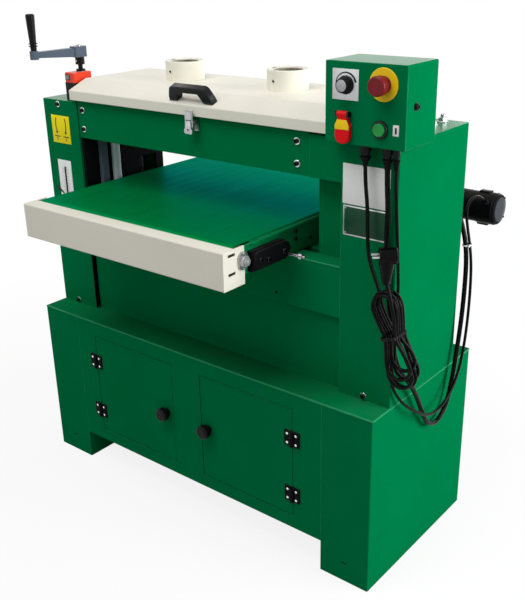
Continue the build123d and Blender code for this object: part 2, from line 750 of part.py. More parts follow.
# Sanding drums, drive belts and the main motor
for row, vee_x, drum_name in zip(drum_rows, vee_rows, ("front_drum", "rear_drum")):
    with BuildPart() as drum:
        round_bar("X", (row, drum_z), drum_radius, (table_x - belt_width / 2, table_x + belt_width / 2))
        round_bar("X", (row, drum_z), drum_shaft, (left_wall + 1.0, vee_x + pulley_width / 2))
        drum_pulley = (vee_x - pulley_width / 2, vee_x + pulley_width / 2)
        round_bar("X", (row, drum_z), drum_pulley_radius, drum_pulley)
    keep(drum_name, drum)

motor_end = leg_inner - motor_inset
motor_start = motor_end - motor_length
with BuildPart() as motor_pulley:
    pulley_shaft = (motor_end - motor_shaft_depth, vee_rows[1] + pulley_width / 2)
    round_bar("X", (motor_y, motor_height), motor_shaft, pulley_shaft)
    pulley_ends = (vee_rows[0] - pulley_width / 2, vee_rows[1] + pulley_width / 2)
    round_bar("X", (motor_y, motor_height), pulley_radius, pulley_ends)
keep("motor_pulley", motor_pulley)

with BuildPart() as main_motor:
    round_bar("X", (motor_y, motor_height), motor_radius, (motor_start, motor_end))
    foot_y = (motor_y - 0.9 * motor_radius, motor_y + 0.9 * motor_radius)
    foot_x = (motor_start + motor_foot_inset, motor_end - motor_foot_inset)
    block(foot_x, foot_y, (toe_gap + sheet, motor_height - 0.8 * motor_radius))
    motor_bore = (motor_end - motor_shaft_depth - 1.0, motor_end)
    round_bar("X", (motor_y, motor_height), motor_shaft + fit, motor_bore, Mode.SUBTRACT)
keep("main_motor", main_motor)

vee_belts = []
for row, vee_x in zip(drum_rows, vee_rows):
    with BuildPart() as vee_belt:
        vee_plane = Plane.YZ.offset(vee_x - vee_width / 2)
        for growth, mode in ((clear + vee_thickness, Mode.ADD), (clear, Mode.SUBTRACT)):
            with BuildSketch(vee_plane):
                with Locations((motor_y, motor_height)):
                    Circle(pulley_radius + growth)
                with Locations((row, drum_z)):
                    Circle(drum_pulley_radius + growth)
                make_hull()
            extrude(amount=vee_width, mode=mode)
    vee_belts.append(vee_belt)
keep("drive_belts", *vee_belts)

# Crank: a shaft that is also the front left lead screw, a cast arm and a turning grip
block_top = column_top + indicator_block_height
indicator_top = block_top + indicator_height
collar_z = indicator_top + 1.0
arm_root = (collar_z + 36.0, collar_z + 63.0)
hub_z = (collar_z + 41.0, collar_z + 62.0)
arm_way = (-sin(radians(crank_swing)), -cos(radians(crank_swing)), 0)
arm_side = (arm_way[1], -arm_way[0], 0)
grip_x = crank_x + crank_radius * arm_way[0]
grip_y = crank_y + crank_radius * arm_way[1]
grip_z = (hub_z[1] + clear, hub_z[1] + clear + crank_grip_length)
with BuildPart() as crank_shaft:
    lead_screw((crank_x, crank_y), column_top - 6.0)
    round_bar("Z", (crank_x, crank_y), crank_journal, (column_top - 6.0, collar_z))
    round_bar("Z", (crank_x, crank_y), 12.0, (collar_z, collar_z + 5.0))
    round_bar("Z", (crank_x, crank_y), 6.0, (collar_z + 5.0, collar_z + 17.0))
    round_bar("Z", (crank_x, crank_y), 12.0, (collar_z + 17.0, arm_root[0]))
root_half = 14.0
with BuildPart() as crank_arm:
    with BuildSketch(Plane((crank_x, crank_y, 0), x_dir=arm_way, z_dir=arm_side)) as arm_profile:
        with BuildLine():
            Polyline(
                (root_half, arm_root[0] + 1.0),
                (crank_radius, hub_z[0] + 4.0),
                (crank_radius, hub_z[1] - 3.0),
                (root_half, arm_root[1] - 3.0),
                close=True,
            )
        make_face()
    extrude(amount=9.0, both=True)
    with BuildSketch(Plane((crank_x, crank_y, arm_root[0]), x_dir=arm_way, z_dir=(0, 0, 1))):
        with Locations((2.0, 0)):
            RectangleRounded(2 * root_half + 8.0, 2 * root_half, 4.0)
    extrude(amount=arm_root[1] - arm_root[0])
    round_bar("Z", (grip_x, grip_y), 11.0, hub_z)
    round_bar("Z", (grip_x, grip_y), crank_pin, (hub_z[1], grip_z[1] - 6.0))
keep("crank", crank_shaft, crank_arm)

with BuildPart() as crank_grip:
    with Locations((grip_x, grip_y, sum(grip_z) / 2)):
        Cone(7.5, 11.5, crank_grip_length)
    fillet(crank_grip.edges().filter_by(GeomType.CIRCLE).sort_by(Axis.Z)[-1], 5.0)
    fillet(crank_grip.edges().filter_by(GeomType.CIRCLE).sort_by(Axis.Z)[0], 1.5)
    round_bar("Z", (grip_x, grip_y), crank_pin + fit, (grip_z[0], grip_z[1] - 5.0), Mode.SUBTRACT)
keep("crank_grip", crank_grip)

# Position indicator on its bearing block
indicator_x = (crank_x - indicator_width / 2, crank_x + indicator_width / 2 - 2.0)
indicator_y = (crank_y - indicator_front, crank_y + indicator_rear)
with BuildPart() as indicator_block:
    block(indicator_x, indicator_y, (column_top, block_top))
    round_bar("Z", (crank_x, crank_y), crank_journal + fit, (column_top, block_top), Mode.SUBTRACT)
with BuildPart() as indicator_body:
    block(indicator_x, indicator_y, (block_top, indicator_top))
    fillet(indicator_body.edges().filter_by(Axis.Z), corner)
    fillet(indicator_body.faces().sort_by(Axis.Z)[-1].edges(), 2 * soft_edge)
    round_bar("Z", (crank_x, crank_y), crank_journal + clear, (block_top, indicator_top), Mode.SUBTRACT)
keep("position_indicator", indicator_block, indicator_body)

# Dust cover with two hose ports, a bridge handle and hinges along its rear
cover_shoulder = cover_bottom + cover_face
cover_outline = (
    (-cover_front, cover_bottom),
    (-cover_front, cover_shoulder),
    (cover_slope - cover_front, cover_top),
    (cover_rear - cover_rise, cover_top),
    (cover_rear, cover_shoulder),
    (cover_rear, cover_bottom),
)
port_places = ((port_x - port_spacing / 2, port_y), (port_x + port_spacing / 2, port_y))
port_bore = port_radius - port_wall
with BuildPart() as top_cover:
    with BuildSketch(Plane.YZ.offset(cover_left)):
        with BuildLine():
            Polyline(*cover_outline, close=True)
        make_face()
    extrude(amount=cover_right - cover_left)
    cover_folds = top_cover.edges().filter_by(Axis.X)
    fillet(cover_folds.filter_by_position(Axis.Z, cover_shoulder - 1, cover_top + 1), corner)
    for end_face in (top_cover.faces().sort_by(Axis.X)[0], top_cover.faces().sort_by(Axis.X)[-1]):
        end_edges = end_face.edges().filter_by_position(Axis.Z, cover_bottom + 1, cover_top + 1)
        fillet(end_edges, soft_edge)
    with BuildSketch(Plane.YZ.offset(cover_left + cover_wall)):
        with BuildLine():
            Polyline(*cover_outline, close=True)
        make_face()
        offset(amount=-cover_wall, kind=Kind.INTERSECTION, mode=Mode.REPLACE)
    extrude(amount=cover_right - cover_left - 2 * cover_wall, mode=Mode.SUBTRACT)
    mouth_x = (cover_left + cover_wall, cover_right - cover_wall)
    mouth_y = (cover_wall - cover_front, cover_rear - cover_wall)
    block(mouth_x, mouth_y, (cover_bottom, cover_bottom + cover_wall), Mode.SUBTRACT)
    for place in port_places:
        round_bar("Z", place, port_bore, (cover_top - cover_wall, cover_top), Mode.SUBTRACT)
keep("top_cover", top_cover)

ports = []
for place in port_places:
    with BuildPart() as dust_port:
        round_bar("Z", place, port_radius, (cover_top, cover_top + port_height))
        round_bar("Z", place, port_bore, (cover_top, cover_top + port_height), Mode.SUBTRACT)
        fillet(dust_port.edges().filter_by(GeomType.CIRCLE).group_by(Axis.Z)[-1], soft_edge)
    ports.append(dust_port)
keep("dust_ports", *ports)

slope_angle = atan2(cover_rise, cover_slope)
handle_foot = (handle_x, handle_setback - cover_front, cover_shoulder + handle_setback * tan(slope_angle))
handle_plane = Plane(handle_foot, x_dir=(1, 0, 0), z_dir=(0, -cos(slope_angle), -sin(slope_angle)))
half_span = handle_span / 2
with BuildPart() as cover_handle:
    with BuildLine(handle_plane) as grip_path:
        FilletPolyline(
            (-half_span, 0),
            (-half_span, handle_height / 2),
            (20.0 - half_span, handle_height),
            (half_span - 20.0, handle_height),
            (half_span, handle_height / 2),
            (half_span, 0),
            radius=10.0,
        )
    with BuildSketch(Plane(grip_path.line @ 0, z_dir=grip_path.line % 0)):
        Circle(handle_section)
    sweep()
keep("cover_handle", cover_handle)

# Cover hinges: the frame's leaf on the rear head panel holds the pin, the cover's leaf turns on it
cover_axis_y = cover_rear + cover_hinge_radius
cover_axis_z = cover_bottom - 5.0
leaf_thick = 4.0
third = cover_hinge_width / 3
cover_leaves = []
for middle in cover_hinge_x:
    with BuildPart() as lower_leaf:
        ends = (middle - cover_hinge_width / 2, middle + cover_hinge_width / 2)
        fixed_leaf_y = (column_rear + sheet, column_rear + sheet + leaf_thick)
        block(ends, fixed_leaf_y, (panel_top - 40.0, cover_axis_z))
        for start in (ends[0], ends[1] - third):
            knuckle = (start, start + third)
            knuckle_y = (column_rear + sheet, cover_axis_y)
            block(knuckle, knuckle_y, (cover_axis_z - cover_hinge_radius, cover_axis_z))
            round_bar("X", (cover_axis_y, cover_axis_z), cover_hinge_radius, knuckle)
        round_bar("X", (cover_axis_y, cover_axis_z), 3.0, ends)
    frame_leaves.append(lower_leaf)
    with BuildPart() as upper_leaf:
        knuckle = (middle - third / 2 + knuckle_gap, middle + third / 2 - knuckle_gap)
        leaf_y = (cover_rear, cover_rear + leaf_thick)
        block(knuckle, (cover_rear, cover_axis_y + 2.0), (cover_axis_z, cover_bottom + 8.0))
        block(ends, leaf_y, (cover_bottom + 2.0, cover_shoulder - 1.0))
        round_bar("X", (cover_axis_y, cover_axis_z), cover_hinge_radius, knuckle)
        round_bar("X", (cover_axis_y, cover_axis_z), 3.0 + fit, knuckle, Mode.SUBTRACT)
    cover_leaves.append(upper_leaf)
keep("hinge_leaves", *frame_leaves)

# Cover latch: a base with a pin on the head panel, a lever, a wire bail and a strike on the cover
latch_face = -column_front + head_panel_recess
latch_half = latch_width / 2
lever_z = panel_top - 5.0
lever_y = latch_face - 13.0
lever_half = latch_half - latch_ear - clear
bail_y = -cover_front - 7.0
bail_low = lever_z - 9.0
bail_high = cover_bottom + 12.0
bail_half = lever_half + bail_wire + clear
with BuildPart() as latch_base:
    plate_y = (latch_face - latch_plate, latch_face)
    block((latch_x - latch_half, latch_x + latch_half), plate_y, (lever_z - 20.0, lever_z + 4.0))
    for side in (-1, 1):
        ear = (latch_x + side * (latch_half - latch_ear), latch_x + side * latch_half)
        block(ear, (lever_y, latch_face), (lever_z - 4.0, lever_z + 4.0))
        round_bar("X", (lever_y, lever_z), 4.0, ear)
    round_bar("X", (lever_y, lever_z), latch_pin, (latch_x - latch_half, latch_x + latch_half))
keep("latch_base", latch_base)

with BuildPart() as latch_lever:
    lever_x = (latch_x - lever_half, latch_x + lever_half)
    round_bar("X", (lever_y, lever_z), 4.0, lever_x)
    block(lever_x, (bail_y - 3.0, lever_y), (lever_z - 20.0, lever_z))
    fillet(latch_lever.edges().filter_by(Axis.X).group_by(Axis.Y)[0], soft_edge)
    round_bar("X", (lever_y, lever_z), latch_pin + fit, lever_x, Mode.SUBTRACT)
    round_bar("X", (bail_y, bail_low), bail_wire + fit, lever_x, Mode.SUBTRACT)
keep("latch_lever", latch_lever)

with BuildPart() as latch_bail:
    for side in (-1, 1):
        round_bar("Z", (latch_x + side * bail_half, bail_y), bail_wire, (bail_low, bail_high))
    for bar_z in (bail_low, bail_high):
        bar_ends = (latch_x - bail_half - bail_wire, latch_x + bail_half + bail_wire)
        round_bar("X", (bail_y, bar_z), bail_wire, bar_ends)
keep("latch_bail", latch_bail)

with BuildPart() as strike:
    strike_half = bail_half - bail_wire - 1.5
    strike_y = (bail_y + bail_wire + 0.5, -cover_front)
    strike_z = (cover_bottom + 3.0, cover_bottom + 10.0)
    block((latch_x - strike_half, latch_x + strike_half), strike_y, strike_z)
keep("cover_fittings", *cover_leaves, strike)

# Control box: a shell on the right column, closed by its panel
panel_face = box_front + box_wall
with BuildPart() as control_box:
    block((box_left, box_right), (panel_face, box_rear), (column_top, box_top))
    fillet(control_box.edges().filter_by(Axis.Y), corner)
    fillet(control_box.faces().sort_by(Axis.Y)[-1].edges(), soft_edge)
    inner_x = (box_left + box_wall, box_right - box_wall)
    inner_z = (column_top + box_wall, box_top - box_wall)
    block(inner_x, (panel_face, box_rear - box_wall), inner_z, Mode.SUBTRACT)
keep("control_box", control_box)

estop_at = (box_right - 50.0, box_top - 38.0)
start_at = (box_right - 55.0, box_top - 122.0)
speed_at = (box_left + 48.0, box_top - 44.0)
paddle_at = (box_left + 46.0, box_top - 125.0)
pivot_y = box_front - paddle_knuckle - 1.0
pivot_z = paddle_at[1] + paddle_height / 2 - paddle_knuckle
with BuildPart() as control_panel:
    block((box_left, box_right), (box_front, panel_face), (column_top, box_top))
    fillet(control_panel.edges().filter_by(Axis.Y), corner)
    fillet(control_panel.faces().sort_by(Axis.Y)[0].edges(), soft_edge)
    for at, radius in ((estop_at, estop_stem), (start_at, start_radius), (speed_at, speed_stem)):
        round_bar("Y", at, radius + fit, (box_front, panel_face), Mode.SUBTRACT)
    for direction in (-1, 1):
        ear_start = direction * (paddle_neck / 2 + clear)
        ear_x = (paddle_at[0] + ear_start, paddle_at[0] + ear_start + direction * 4.0)
        block(ear_x, (pivot_y - 5.0, box_front), (pivot_z - 5.0, pivot_z + 5.0))
    pivot_ends = (paddle_at[0] - paddle_neck / 2 - 4.0, paddle_at[0] + paddle_neck / 2 + 4.0)
    round_bar("X", (pivot_y, pivot_z), paddle_pivot, pivot_ends)
keep("control_panel", control_panel)

with BuildPart() as estop_button:
    round_bar("Y", estop_at, estop_stem, (box_front - estop_reach + 8.0, panel_face + 12.0))
    round_bar("Y", estop_at, estop_radius, (box_front - estop_reach, box_front - estop_reach + 17.0))
    fillet(estop_button.edges().filter_by(GeomType.CIRCLE).sort_by(Axis.Y)[0], 5.0)
keep("estop_button", estop_button)

with BuildPart() as start_button:
    round_bar("Y", start_at, start_radius, (box_front - start_reach, panel_face + 6.0))
    fillet(start_button.edges().filter_by(GeomType.CIRCLE).sort_by(Axis.Y)[0], 1.5)
keep("start_button", start_button)

with BuildPart() as speed_knob:
    round_bar("Y", speed_at, speed_radius, (box_front - speed_reach, box_front - 1.0))
    round_bar("Y", speed_at, speed_stem, (box_front - 1.0, panel_face + 8.0))
    fillet(speed_knob.edges().filter_by(GeomType.CIRCLE).sort_by(Axis.Y)[0], 1.5)
keep("speed_knob", speed_knob)

paddle_back = box_front - 1.0
with BuildPart() as paddle_switch:
    with BuildSketch(Plane((paddle_at[0], paddle_back, paddle_at[1]), x_dir=(1, 0, 0), z_dir=(0, -1, 0))):
        with BuildLine():
            neck = paddle_neck / 2
            wide = paddle_width / 2
            top = pivot_z - paddle_at[1]
            low = 14.0 - paddle_height / 2
            Polyline((-neck, top), (neck, top), (neck, top - 10.0), (wide, top - 22.0), (wide, low))
            ThreePointArc((wide, low), (0, -paddle_height / 2), (-wide, low))
            Polyline((-wide, low), (-wide, top - 22.0), (-neck, top - 10.0), (-neck, top))
        make_face()
    extrude(amount=paddle_depth)
    fillet(paddle_switch.faces().sort_by(Axis.Y)[0].edges(), 3.0)
    neck_ends = (paddle_at[0] - neck, paddle_at[0] + neck)
    round_bar("X", (pivot_y, pivot_z), paddle_knuckle, neck_ends)
    round_bar("X", (pivot_y, pivot_z), paddle_pivot + fit, neck_ends, Mode.SUBTRACT)
keep("paddle_switch", paddle_switch)

# Panel screws: socket heads on washers, on the front of the machine and the side of the control box
front_screws = (
    (-half_width + 62.0, column_top - 11.0, -column_front),
    (-half_width + 62.0, base_height + 10.0, -column_front),
    (half_width - 69.0, base_height + 10.0, -column_front),
    (-column_inner + 19.0, panel_top - 16.5, latch_face),
    (-column_inner + 19.0, head_bottom + 24.0, latch_face),
    (opening_right - 35.0, panel_top - 16.5, latch_face),
    (opening_right - 35.0, head_bottom + 24.0, latch_face),
)
with BuildPart() as panel_screws:
    for screw_x, screw_z, face in front_screws:
        round_bar("Y", (screw_x, screw_z), washer_radius, (face - washer_thickness, face))
        screw_y = (face - washer_thickness - screw_head_height, face)
        round_bar("Y", (screw_x, screw_z), screw_head, screw_y)
    side_at = (box_front + 35.0, box_top - 79.0)
    round_bar("X", side_at, washer_radius, (box_right, box_right + washer_thickness))
    round_bar("X", side_at, screw_head, (box_right, box_right + washer_thickness + screw_head_height))
keep("panel_screws", panel_screws)

# Cable glands: three under the front of the control box and an elbow on the back of the right column
gland_y = -column_front - 21.0
gland_z = column_top - gland_drop
mains_exit = (half_width - 66.0, gland_y, gland_z)
motor_exit = (half_width - 15.0, gland_y, gland_z)
feed_exit = (half_width + 4.5, gland_y, gland_z)
elbow_entry = (half_width - 36.0, column_rear + 17.0, beam_top + 174.0)
glands = []
for point, bore in ((mains_exit, 11.0), (motor_exit, 11.0), (feed_exit, 7.0)):
    with BuildPart() as gland:
        round_bar("Z", point[:2], bore, (column_top - 14.0, column_top))
        with BuildSketch(Plane.XY.offset(column_top - 14.0)):
            with Locations(point[:2]):
                Circle(bore - 1.0)
        extrude(amount=-10.0, taper=12)
    glands.append(gland)
with BuildPart() as elbow:
    elbow_x = (elbow_entry[0] - 10.0, elbow_entry[0] + 10.0)
    block(elbow_x, (column_rear, elbow_entry[1] + 9.0), (elbow_entry[2], elbow_entry[2] + 26.0))
    fillet(elbow.edges().filter_by(Axis.X).sort_by(Axis.Y)[-2:], 6.0)
glands.append(elbow)
keep("cable_glands", *glands)


# Leads: straight runs joined by arcs as large as the runs allow
def lead(name, points, diameter):
    """Sweep a lead along its route and write it; the printed radii and volumes show that it is sound."""
    corners = [Vector(*point) for point in points]
    radii = []
    for before, here, after in zip(corners, corners[1:], corners[2:]):
        turn = radians((here - before).get_angle(after - here))
        shorter = min((here - before).length, (after - here).length)
        radii.append(0.45 * shorter / tan(turn / 2))
    with BuildPart() as tube:
        with BuildLine() as route:
            FilletPolyline(*points, radius=radii)
        with BuildSketch(Plane(route.line @ 0, z_dir=route.line % 0)):
            Circle(diameter / 2)
        sweep()
    length = route.wires()[0].length
    section_volume = 3.14159265 * diameter**2 / 4 * length
    tightest = min(radii)
    print(name, "length", round(length), "least radius", round(tightest, 1), round(tightest / diameter, 1))
    print(name, "volume over section times length", round(tube.part.volume / section_volume, 4))
    keep(name, tube)


def beside(*points):
    """Points along a route beside the cabinet: X counts from its right side."""
    return [(half_width + x, y, z) for x, y, z in points]


hank_top = (half_width + 3.0, 743.0)
hank_bottom = (half_width + 60.0, 549.0)
hank_back = -181.0
down = Vector(hank_bottom[0] - hank_top[0], 0, hank_bottom[1] - hank_top[1]).normalized()
across = Vector(-down.Z, 0, down.X)
forward = Vector(0, -1, 0)
hank_length = Vector(hank_bottom[0] - hank_top[0], 0, hank_bottom[1] - hank_top[1]).length
hank_run = hank_length - 2 * hank_radius - mains_diameter
hank_middle = Vector(hank_top[0], hank_back, hank_top[1]) + down * (hank_radius + mains_diameter / 2)
hank_start = hank_middle - across * hank_radius
lead_in = hank_start - down * 32.0


def hank_point(side, level, layer):
    """A point of the hank: side in radii from its middle line, level down its run, layer to the front."""
    return hank_middle + across * (side * hank_radius) + down * level + forward * (layer * hank_step)


climb = hank_step / 2
half_run = hank_run / 2
climb_turn = 2 * atan2(climb, half_run)
climb_way = down * -cos(climb_turn) + forward * sin(climb_turn)
tail = 55.0
with BuildPart() as mains_hank:
    with BuildLine() as hank_path:
        for loop in range(hank_loops):
            Line(hank_point(-1, 0, loop), hank_point(-1, hank_run, loop))
            low_point = hank_point(0, hank_run + hank_radius, loop)
            ThreePointArc(hank_point(-1, hank_run, loop), low_point, hank_point(1, hank_run, loop))
            half_way = hank_point(1, half_run, loop + 0.5)
            TangentArc(hank_point(1, hank_run, loop), half_way, tangent=down * -1)
            TangentArc(half_way, hank_point(1, 0, loop + 1), tangent=climb_way)
            if loop < hank_loops - 1:
                high_point = hank_point(0, -hank_radius, loop + 1)
                ThreePointArc(hank_point(1, 0, loop + 1), high_point, hank_point(-1, 0, loop + 1))
        Line(hank_point(1, 0, hank_loops), hank_point(1, -tail, hank_loops))
    with BuildSketch(Plane(hank_path.line @ 0, z_dir=hank_path.line % 0)):
        Circle(mains_diameter / 2)
    sweep()
keep("mains_hank", mains_hank)
hank_wire = hank_path.wires()[0]
samples = [hank_wire @ (step / 1200) for step in range(1201)]
spacing = hank_wire.length / 1200
apart = int(3 * mains_diameter / spacing)
least = min((a - b).length for i, a in enumerate(samples) for b in samples[i + apart:])
print("hank length", round(hank_wire.length), "least gap to itself", round(least - mains_diameter, 2))
hank_volume = 3.14159265 * mains_diameter**2 / 4 * hank_wire.length
print("hank volume over section times length", round(mains_hank.part.volume / hank_volume, 4))

# Plug: a short boot along the lead, an upright neck and a round head with its pins to the left
plug_base = hank_point(1, -tail, hank_loops)
neck_base = plug_base - down * 8.0
plug_up = Vector(0, 0, 1)
pin_way = Vector(-0.78, -0.63, 0).normalized()
pin_apart = Vector(0.63, -0.78, 0).normalized()
head_middle = neck_base + plug_up * 51.0
head_radius = 17.0
with BuildPart() as mains_plug:
    with BuildSketch(Plane(plug_base, x_dir=across, z_dir=down * -1)):
        Circle(9.0)
    extrude(amount=14.0)
    with BuildSketch(Plane(neck_base, x_dir=(1, 0, 0), z_dir=forward)):
        with BuildLine():
            Line((0, 0), (9.5, 0))
            Spline((9.5, 0), (11.0, 10.0), (13.2, 22.0), (15.5, 36.0), (16.0, 50.0))
            Line((16.0, 50.0), (0, 50.0))
            Line((0, 50.0), (0, 0))
        make_face()
    revolve(axis=Axis(neck_base, plug_up))
    with BuildSketch(Plane(head_middle - pin_way * 20.0, z_dir=pin_way)):
        Circle(head_radius)
    extrude(amount=36.0)
    fillet(mains_plug.edges().filter_by(GeomType.CIRCLE).filter_by(
        lambda edge: abs(edge.radius - head_radius) < 0.1
    ), 3.0)
    with BuildSketch(Plane(head_middle + pin_way * 10.0, x_dir=pin_apart, z_dir=pin_way)):
        with Locations((-9.5, 0), (9.5, 0)):
            Circle(2.4)
    extrude(amount=20.0)
keep("mains_plug", mains_plug)

mains_route = [
    mains_exit,
    (mains_exit[0], gland_y, 968.0),
    *beside(
        (-57.0, -179.5, 908.0),
        (-55.0, -180.5, 853.0),
        (-51.0, -181.0, 800.0),
    ),
    (lead_in.X, lead_in.Y, lead_in.Z),
    (hank_start.X, hank_start.Y, hank_start.Z),
]
lead("mains_lead", mains_route, mains_diameter)

motor_route = [
    motor_exit,
    (motor_exit[0], gland_y, 968.0),
    *beside(
        (-14.0, -171.0, 903.0),
        (-18.0, -167.0, 840.0),
        (-14.0, -169.0, 775.0),
        (-5.0, -169.0, 710.0),
        (4.0, -168.5, 645.0),
        (12.0, -168.0, 586.0),
        (19.0, -145.0, 540.0),
        (20.0, -101.0, 495.0),
        (18.0, -66.0, 446.0),
        (17.0, -38.0, 396.0),
        (16.0, -6.0, 353.0),
        (16.0, 29.0, 337.0),
        (16.0, 64.0, 345.0),
        (16.0, 90.0, 374.0),
        (16.0, 107.0, 424.0),
        (16.0, 119.0, 482.0),
        (16.0, 130.0, 542.0),
        (15.0, 139.0, 602.0),
        (13.0, 145.5, 656.0),
        (10.0, 151.0, 706.0),
        (4.0, 154.0, 750.0),
        (-7.0, 155.0, 790.0),
        (-21.0, 155.0, 826.0),
        (-32.0, 154.0, 860.0),
    ),
    (elbow_entry[0], elbow_entry[1], elbow_entry[2] - 32.0),
    elbow_entry,
]
lead("motor_lead", motor_route, motor_lead_diameter)

feed_route = [
    feed_exit,
    (feed_exit[0], gland_y, 968.0),
    *beside(
        (7.5, -174.0, 900.0),
        (9.0, -170.0, 842.0),
        (10.0, -164.0, 785.0),
        (10.0, -160.0, 730.0),
        (8.0, -157.0, 672.0),
        (4.8, -157.5, 612.0),
        (1.0, -166.0, 556.0),
        (5.0, -160.0, 508.0),
        (17.0, -132.0, 461.0),
        (28.0, -86.0, 424.0),
        (30.0, -40.0, 394.0),
        (30.0, 10.0, 385.0),
        (30.0, 54.0, 393.0),
        (30.0, 98.0, 427.0),
        (29.0, 123.0, 474.0),
        (28.0, 138.0, 530.0),
        (26.0, 148.0, 590.0),
        (23.0, 155.0, 650.0),
        (18.0, 160.5, 705.0),
        (9.0, 164.0, 750.0),
        (-2.0, 170.0, 784.0),
        (-14.0, 184.0, 810.0),
        (-21.0, 202.0, 828.0),
        (-21.0, 221.0, 839.0),
        (-16.0, 240.0, 842.0),
    ),
    (feed_run_in.X, feed_run_in.Y, feed_run_in.Z),
    (feed_entry.X, feed_entry.Y, feed_entry.Z),
]
lead("feed_lead", feed_route, feed_lead_diameter)
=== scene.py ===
import logging
import math
from collections.abc import Callable, Sequence
from dataclasses import dataclass, field
from enum import Enum

import bmesh
import bpy
from mathutils import Matrix, Vector


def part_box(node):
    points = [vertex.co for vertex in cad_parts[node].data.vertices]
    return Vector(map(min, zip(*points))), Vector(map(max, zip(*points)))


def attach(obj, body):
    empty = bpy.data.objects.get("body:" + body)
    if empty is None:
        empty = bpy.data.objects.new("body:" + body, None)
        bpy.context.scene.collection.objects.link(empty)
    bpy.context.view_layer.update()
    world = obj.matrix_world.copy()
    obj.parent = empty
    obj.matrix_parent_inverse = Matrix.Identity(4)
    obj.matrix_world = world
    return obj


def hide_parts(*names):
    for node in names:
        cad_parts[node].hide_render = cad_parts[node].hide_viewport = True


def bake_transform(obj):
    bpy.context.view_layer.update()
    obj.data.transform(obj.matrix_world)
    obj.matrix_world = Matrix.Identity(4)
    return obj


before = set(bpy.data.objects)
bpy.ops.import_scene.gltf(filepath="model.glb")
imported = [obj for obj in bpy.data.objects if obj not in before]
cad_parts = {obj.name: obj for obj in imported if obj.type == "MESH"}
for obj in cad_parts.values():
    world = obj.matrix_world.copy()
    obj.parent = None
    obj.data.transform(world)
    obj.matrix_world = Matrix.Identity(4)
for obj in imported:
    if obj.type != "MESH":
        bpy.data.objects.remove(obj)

log = logging.getLogger("drum_sander")
logging.basicConfig(level=logging.INFO, format="%(name)s: %(message)s")

MM = 0.001
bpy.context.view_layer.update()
UPWARD = Vector((0.0, 0.0, 1.0))
SHARP_ANGLE = math.radians(38.0)

Colour = tuple[float, float, float, float]
Spot = tuple[float, float, float]
Flat = tuple[float, float]
Box = tuple[Spot, Spot]
Sheet = tuple[Flat, Flat]


def srgb(red: int, green: int, blue: int) -> Colour:
    """Turn a colour as it is seen on a screen into the shader's linear values.

    Args:
        red: Red from 0 to 255.
        green: Green from 0 to 255.
        blue: Blue from 0 to 255.

    Returns:
        The linear colour with full alpha.
    """
    parts = []
    for value in (red, green, blue):
        share = value / 255
        parts.append(share / 12.92 if share <= 0.04045 else ((share + 0.055) / 1.055) ** 2.4)
    return (*parts, 1.0)


def polar(radius: float, angle: float) -> Flat:
    """Give the point at a distance and an angle, in radians, from the middle."""
    return (radius * math.cos(angle), radius * math.sin(angle))


def within(value: float, span: Flat) -> bool:
    """Tell whether a value lies inside a span."""
    return span[0] < value < span[1]


def shifted(points: Sequence[Flat], u: float, v: float) -> list[Flat]:
    """Carry an outline sideways and up."""
    return [(a + u, b + v) for a, b in points]


def mirrored(half: Sequence[Flat]) -> list[Flat]:
    """Close an outline with the mirror image of its first half across the second axis."""
    return [*half, *((-u, v) for u, v in reversed(half))]


def moved(stand: Matrix, u: float, v: float, w: float) -> Matrix:
    """Carry a stand along its own axes."""
    return stand @ Matrix.Translation((u, v, w))


def vector_field(*values: float) -> Vector:
    """Give a dataclass field that starts as a vector."""
    return field(default_factory=lambda: Vector(values))


def show(item: bpy.types.Object) -> bpy.types.Object:
    """Link an object into the scene and hand it back."""
    bpy.context.scene.collection.objects.link(item)
    return item


class Facing(Enum):
    """The way a face of the machine looks."""

    FRONT = ((1, 0, 0), (0, 0, 1), (0, -1, 0))
    BACK = ((-1, 0, 0), (0, 0, 1), (0, 1, 0))
    RIGHT = ((0, 1, 0), (0, 0, 1), (1, 0, 0))
    LEFT = ((0, -1, 0), (0, 0, 1), (-1, 0, 0))
    UP = ((1, 0, 0), (0, 1, 0), (0, 0, 1))
    DOWN = ((1, 0, 0), (0, -1, 0), (0, 0, -1))

    def stand(self, at: Spot) -> Matrix:
        """Place a face's own axes at a point, with its third axis out of the face."""
        return axes_at(*(Vector(axis) for axis in self.value), Vector(at))


class Ring(Enum):
    """The outline of one ring of a turned piece."""

    ROUND = "round"
    HEX = "hex"
    FLUTED = "fluted"

    def reach(self, radius: float, angle: float) -> float:
        """Give the ring's distance from its axis at an angle.

        Args:
            radius: The ring's nominal radius.
            angle: The angle about the axis, in radians.

        Returns:
            The distance from the axis.
        """
        if self is Ring.HEX:
            sixth = math.pi / 3
            return radius / math.cos((angle % sixth) - sixth / 2)
        if self is Ring.FLUTED:
            return radius * (0.965 + 0.035 * math.cos(18 * angle))
        return radius


def axes_at(first: Vector, second: Vector, third: Vector, at: Vector) -> Matrix:
    """Build the matrix of a set of axes standing at a point.

    Args:
        first: Direction of the local X axis.
        second: Direction of the local Y axis.
        third: Direction of the local Z axis.
        at: Where the axes stand.

    Returns:
        The matrix from local to machine coordinates.
    """
    turn = Matrix((first, second, third)).transposed().to_4x4()
    return Matrix.Translation(at) @ turn


def rounded(half_u: float, half_v: float, radius: float, steps: int = 6) -> list[Flat]:
    """Outline a rectangle with rounded corners, anticlockwise.

    Args:
        half_u: Half its width.
        half_v: Half its height.
        radius: Radius of the corners.
        steps: Points in each corner, less one.

    Returns:
        The outline's points.
    """
    points = []
    for corner, (u, v) in enumerate(((1, 1), (-1, 1), (-1, -1), (1, -1))):
        arc = [polar(radius, (corner + step / steps) * math.pi / 2) for step in range(steps + 1)]
        points += shifted(arc, u * (half_u - radius), v * (half_v - radius))
    return points


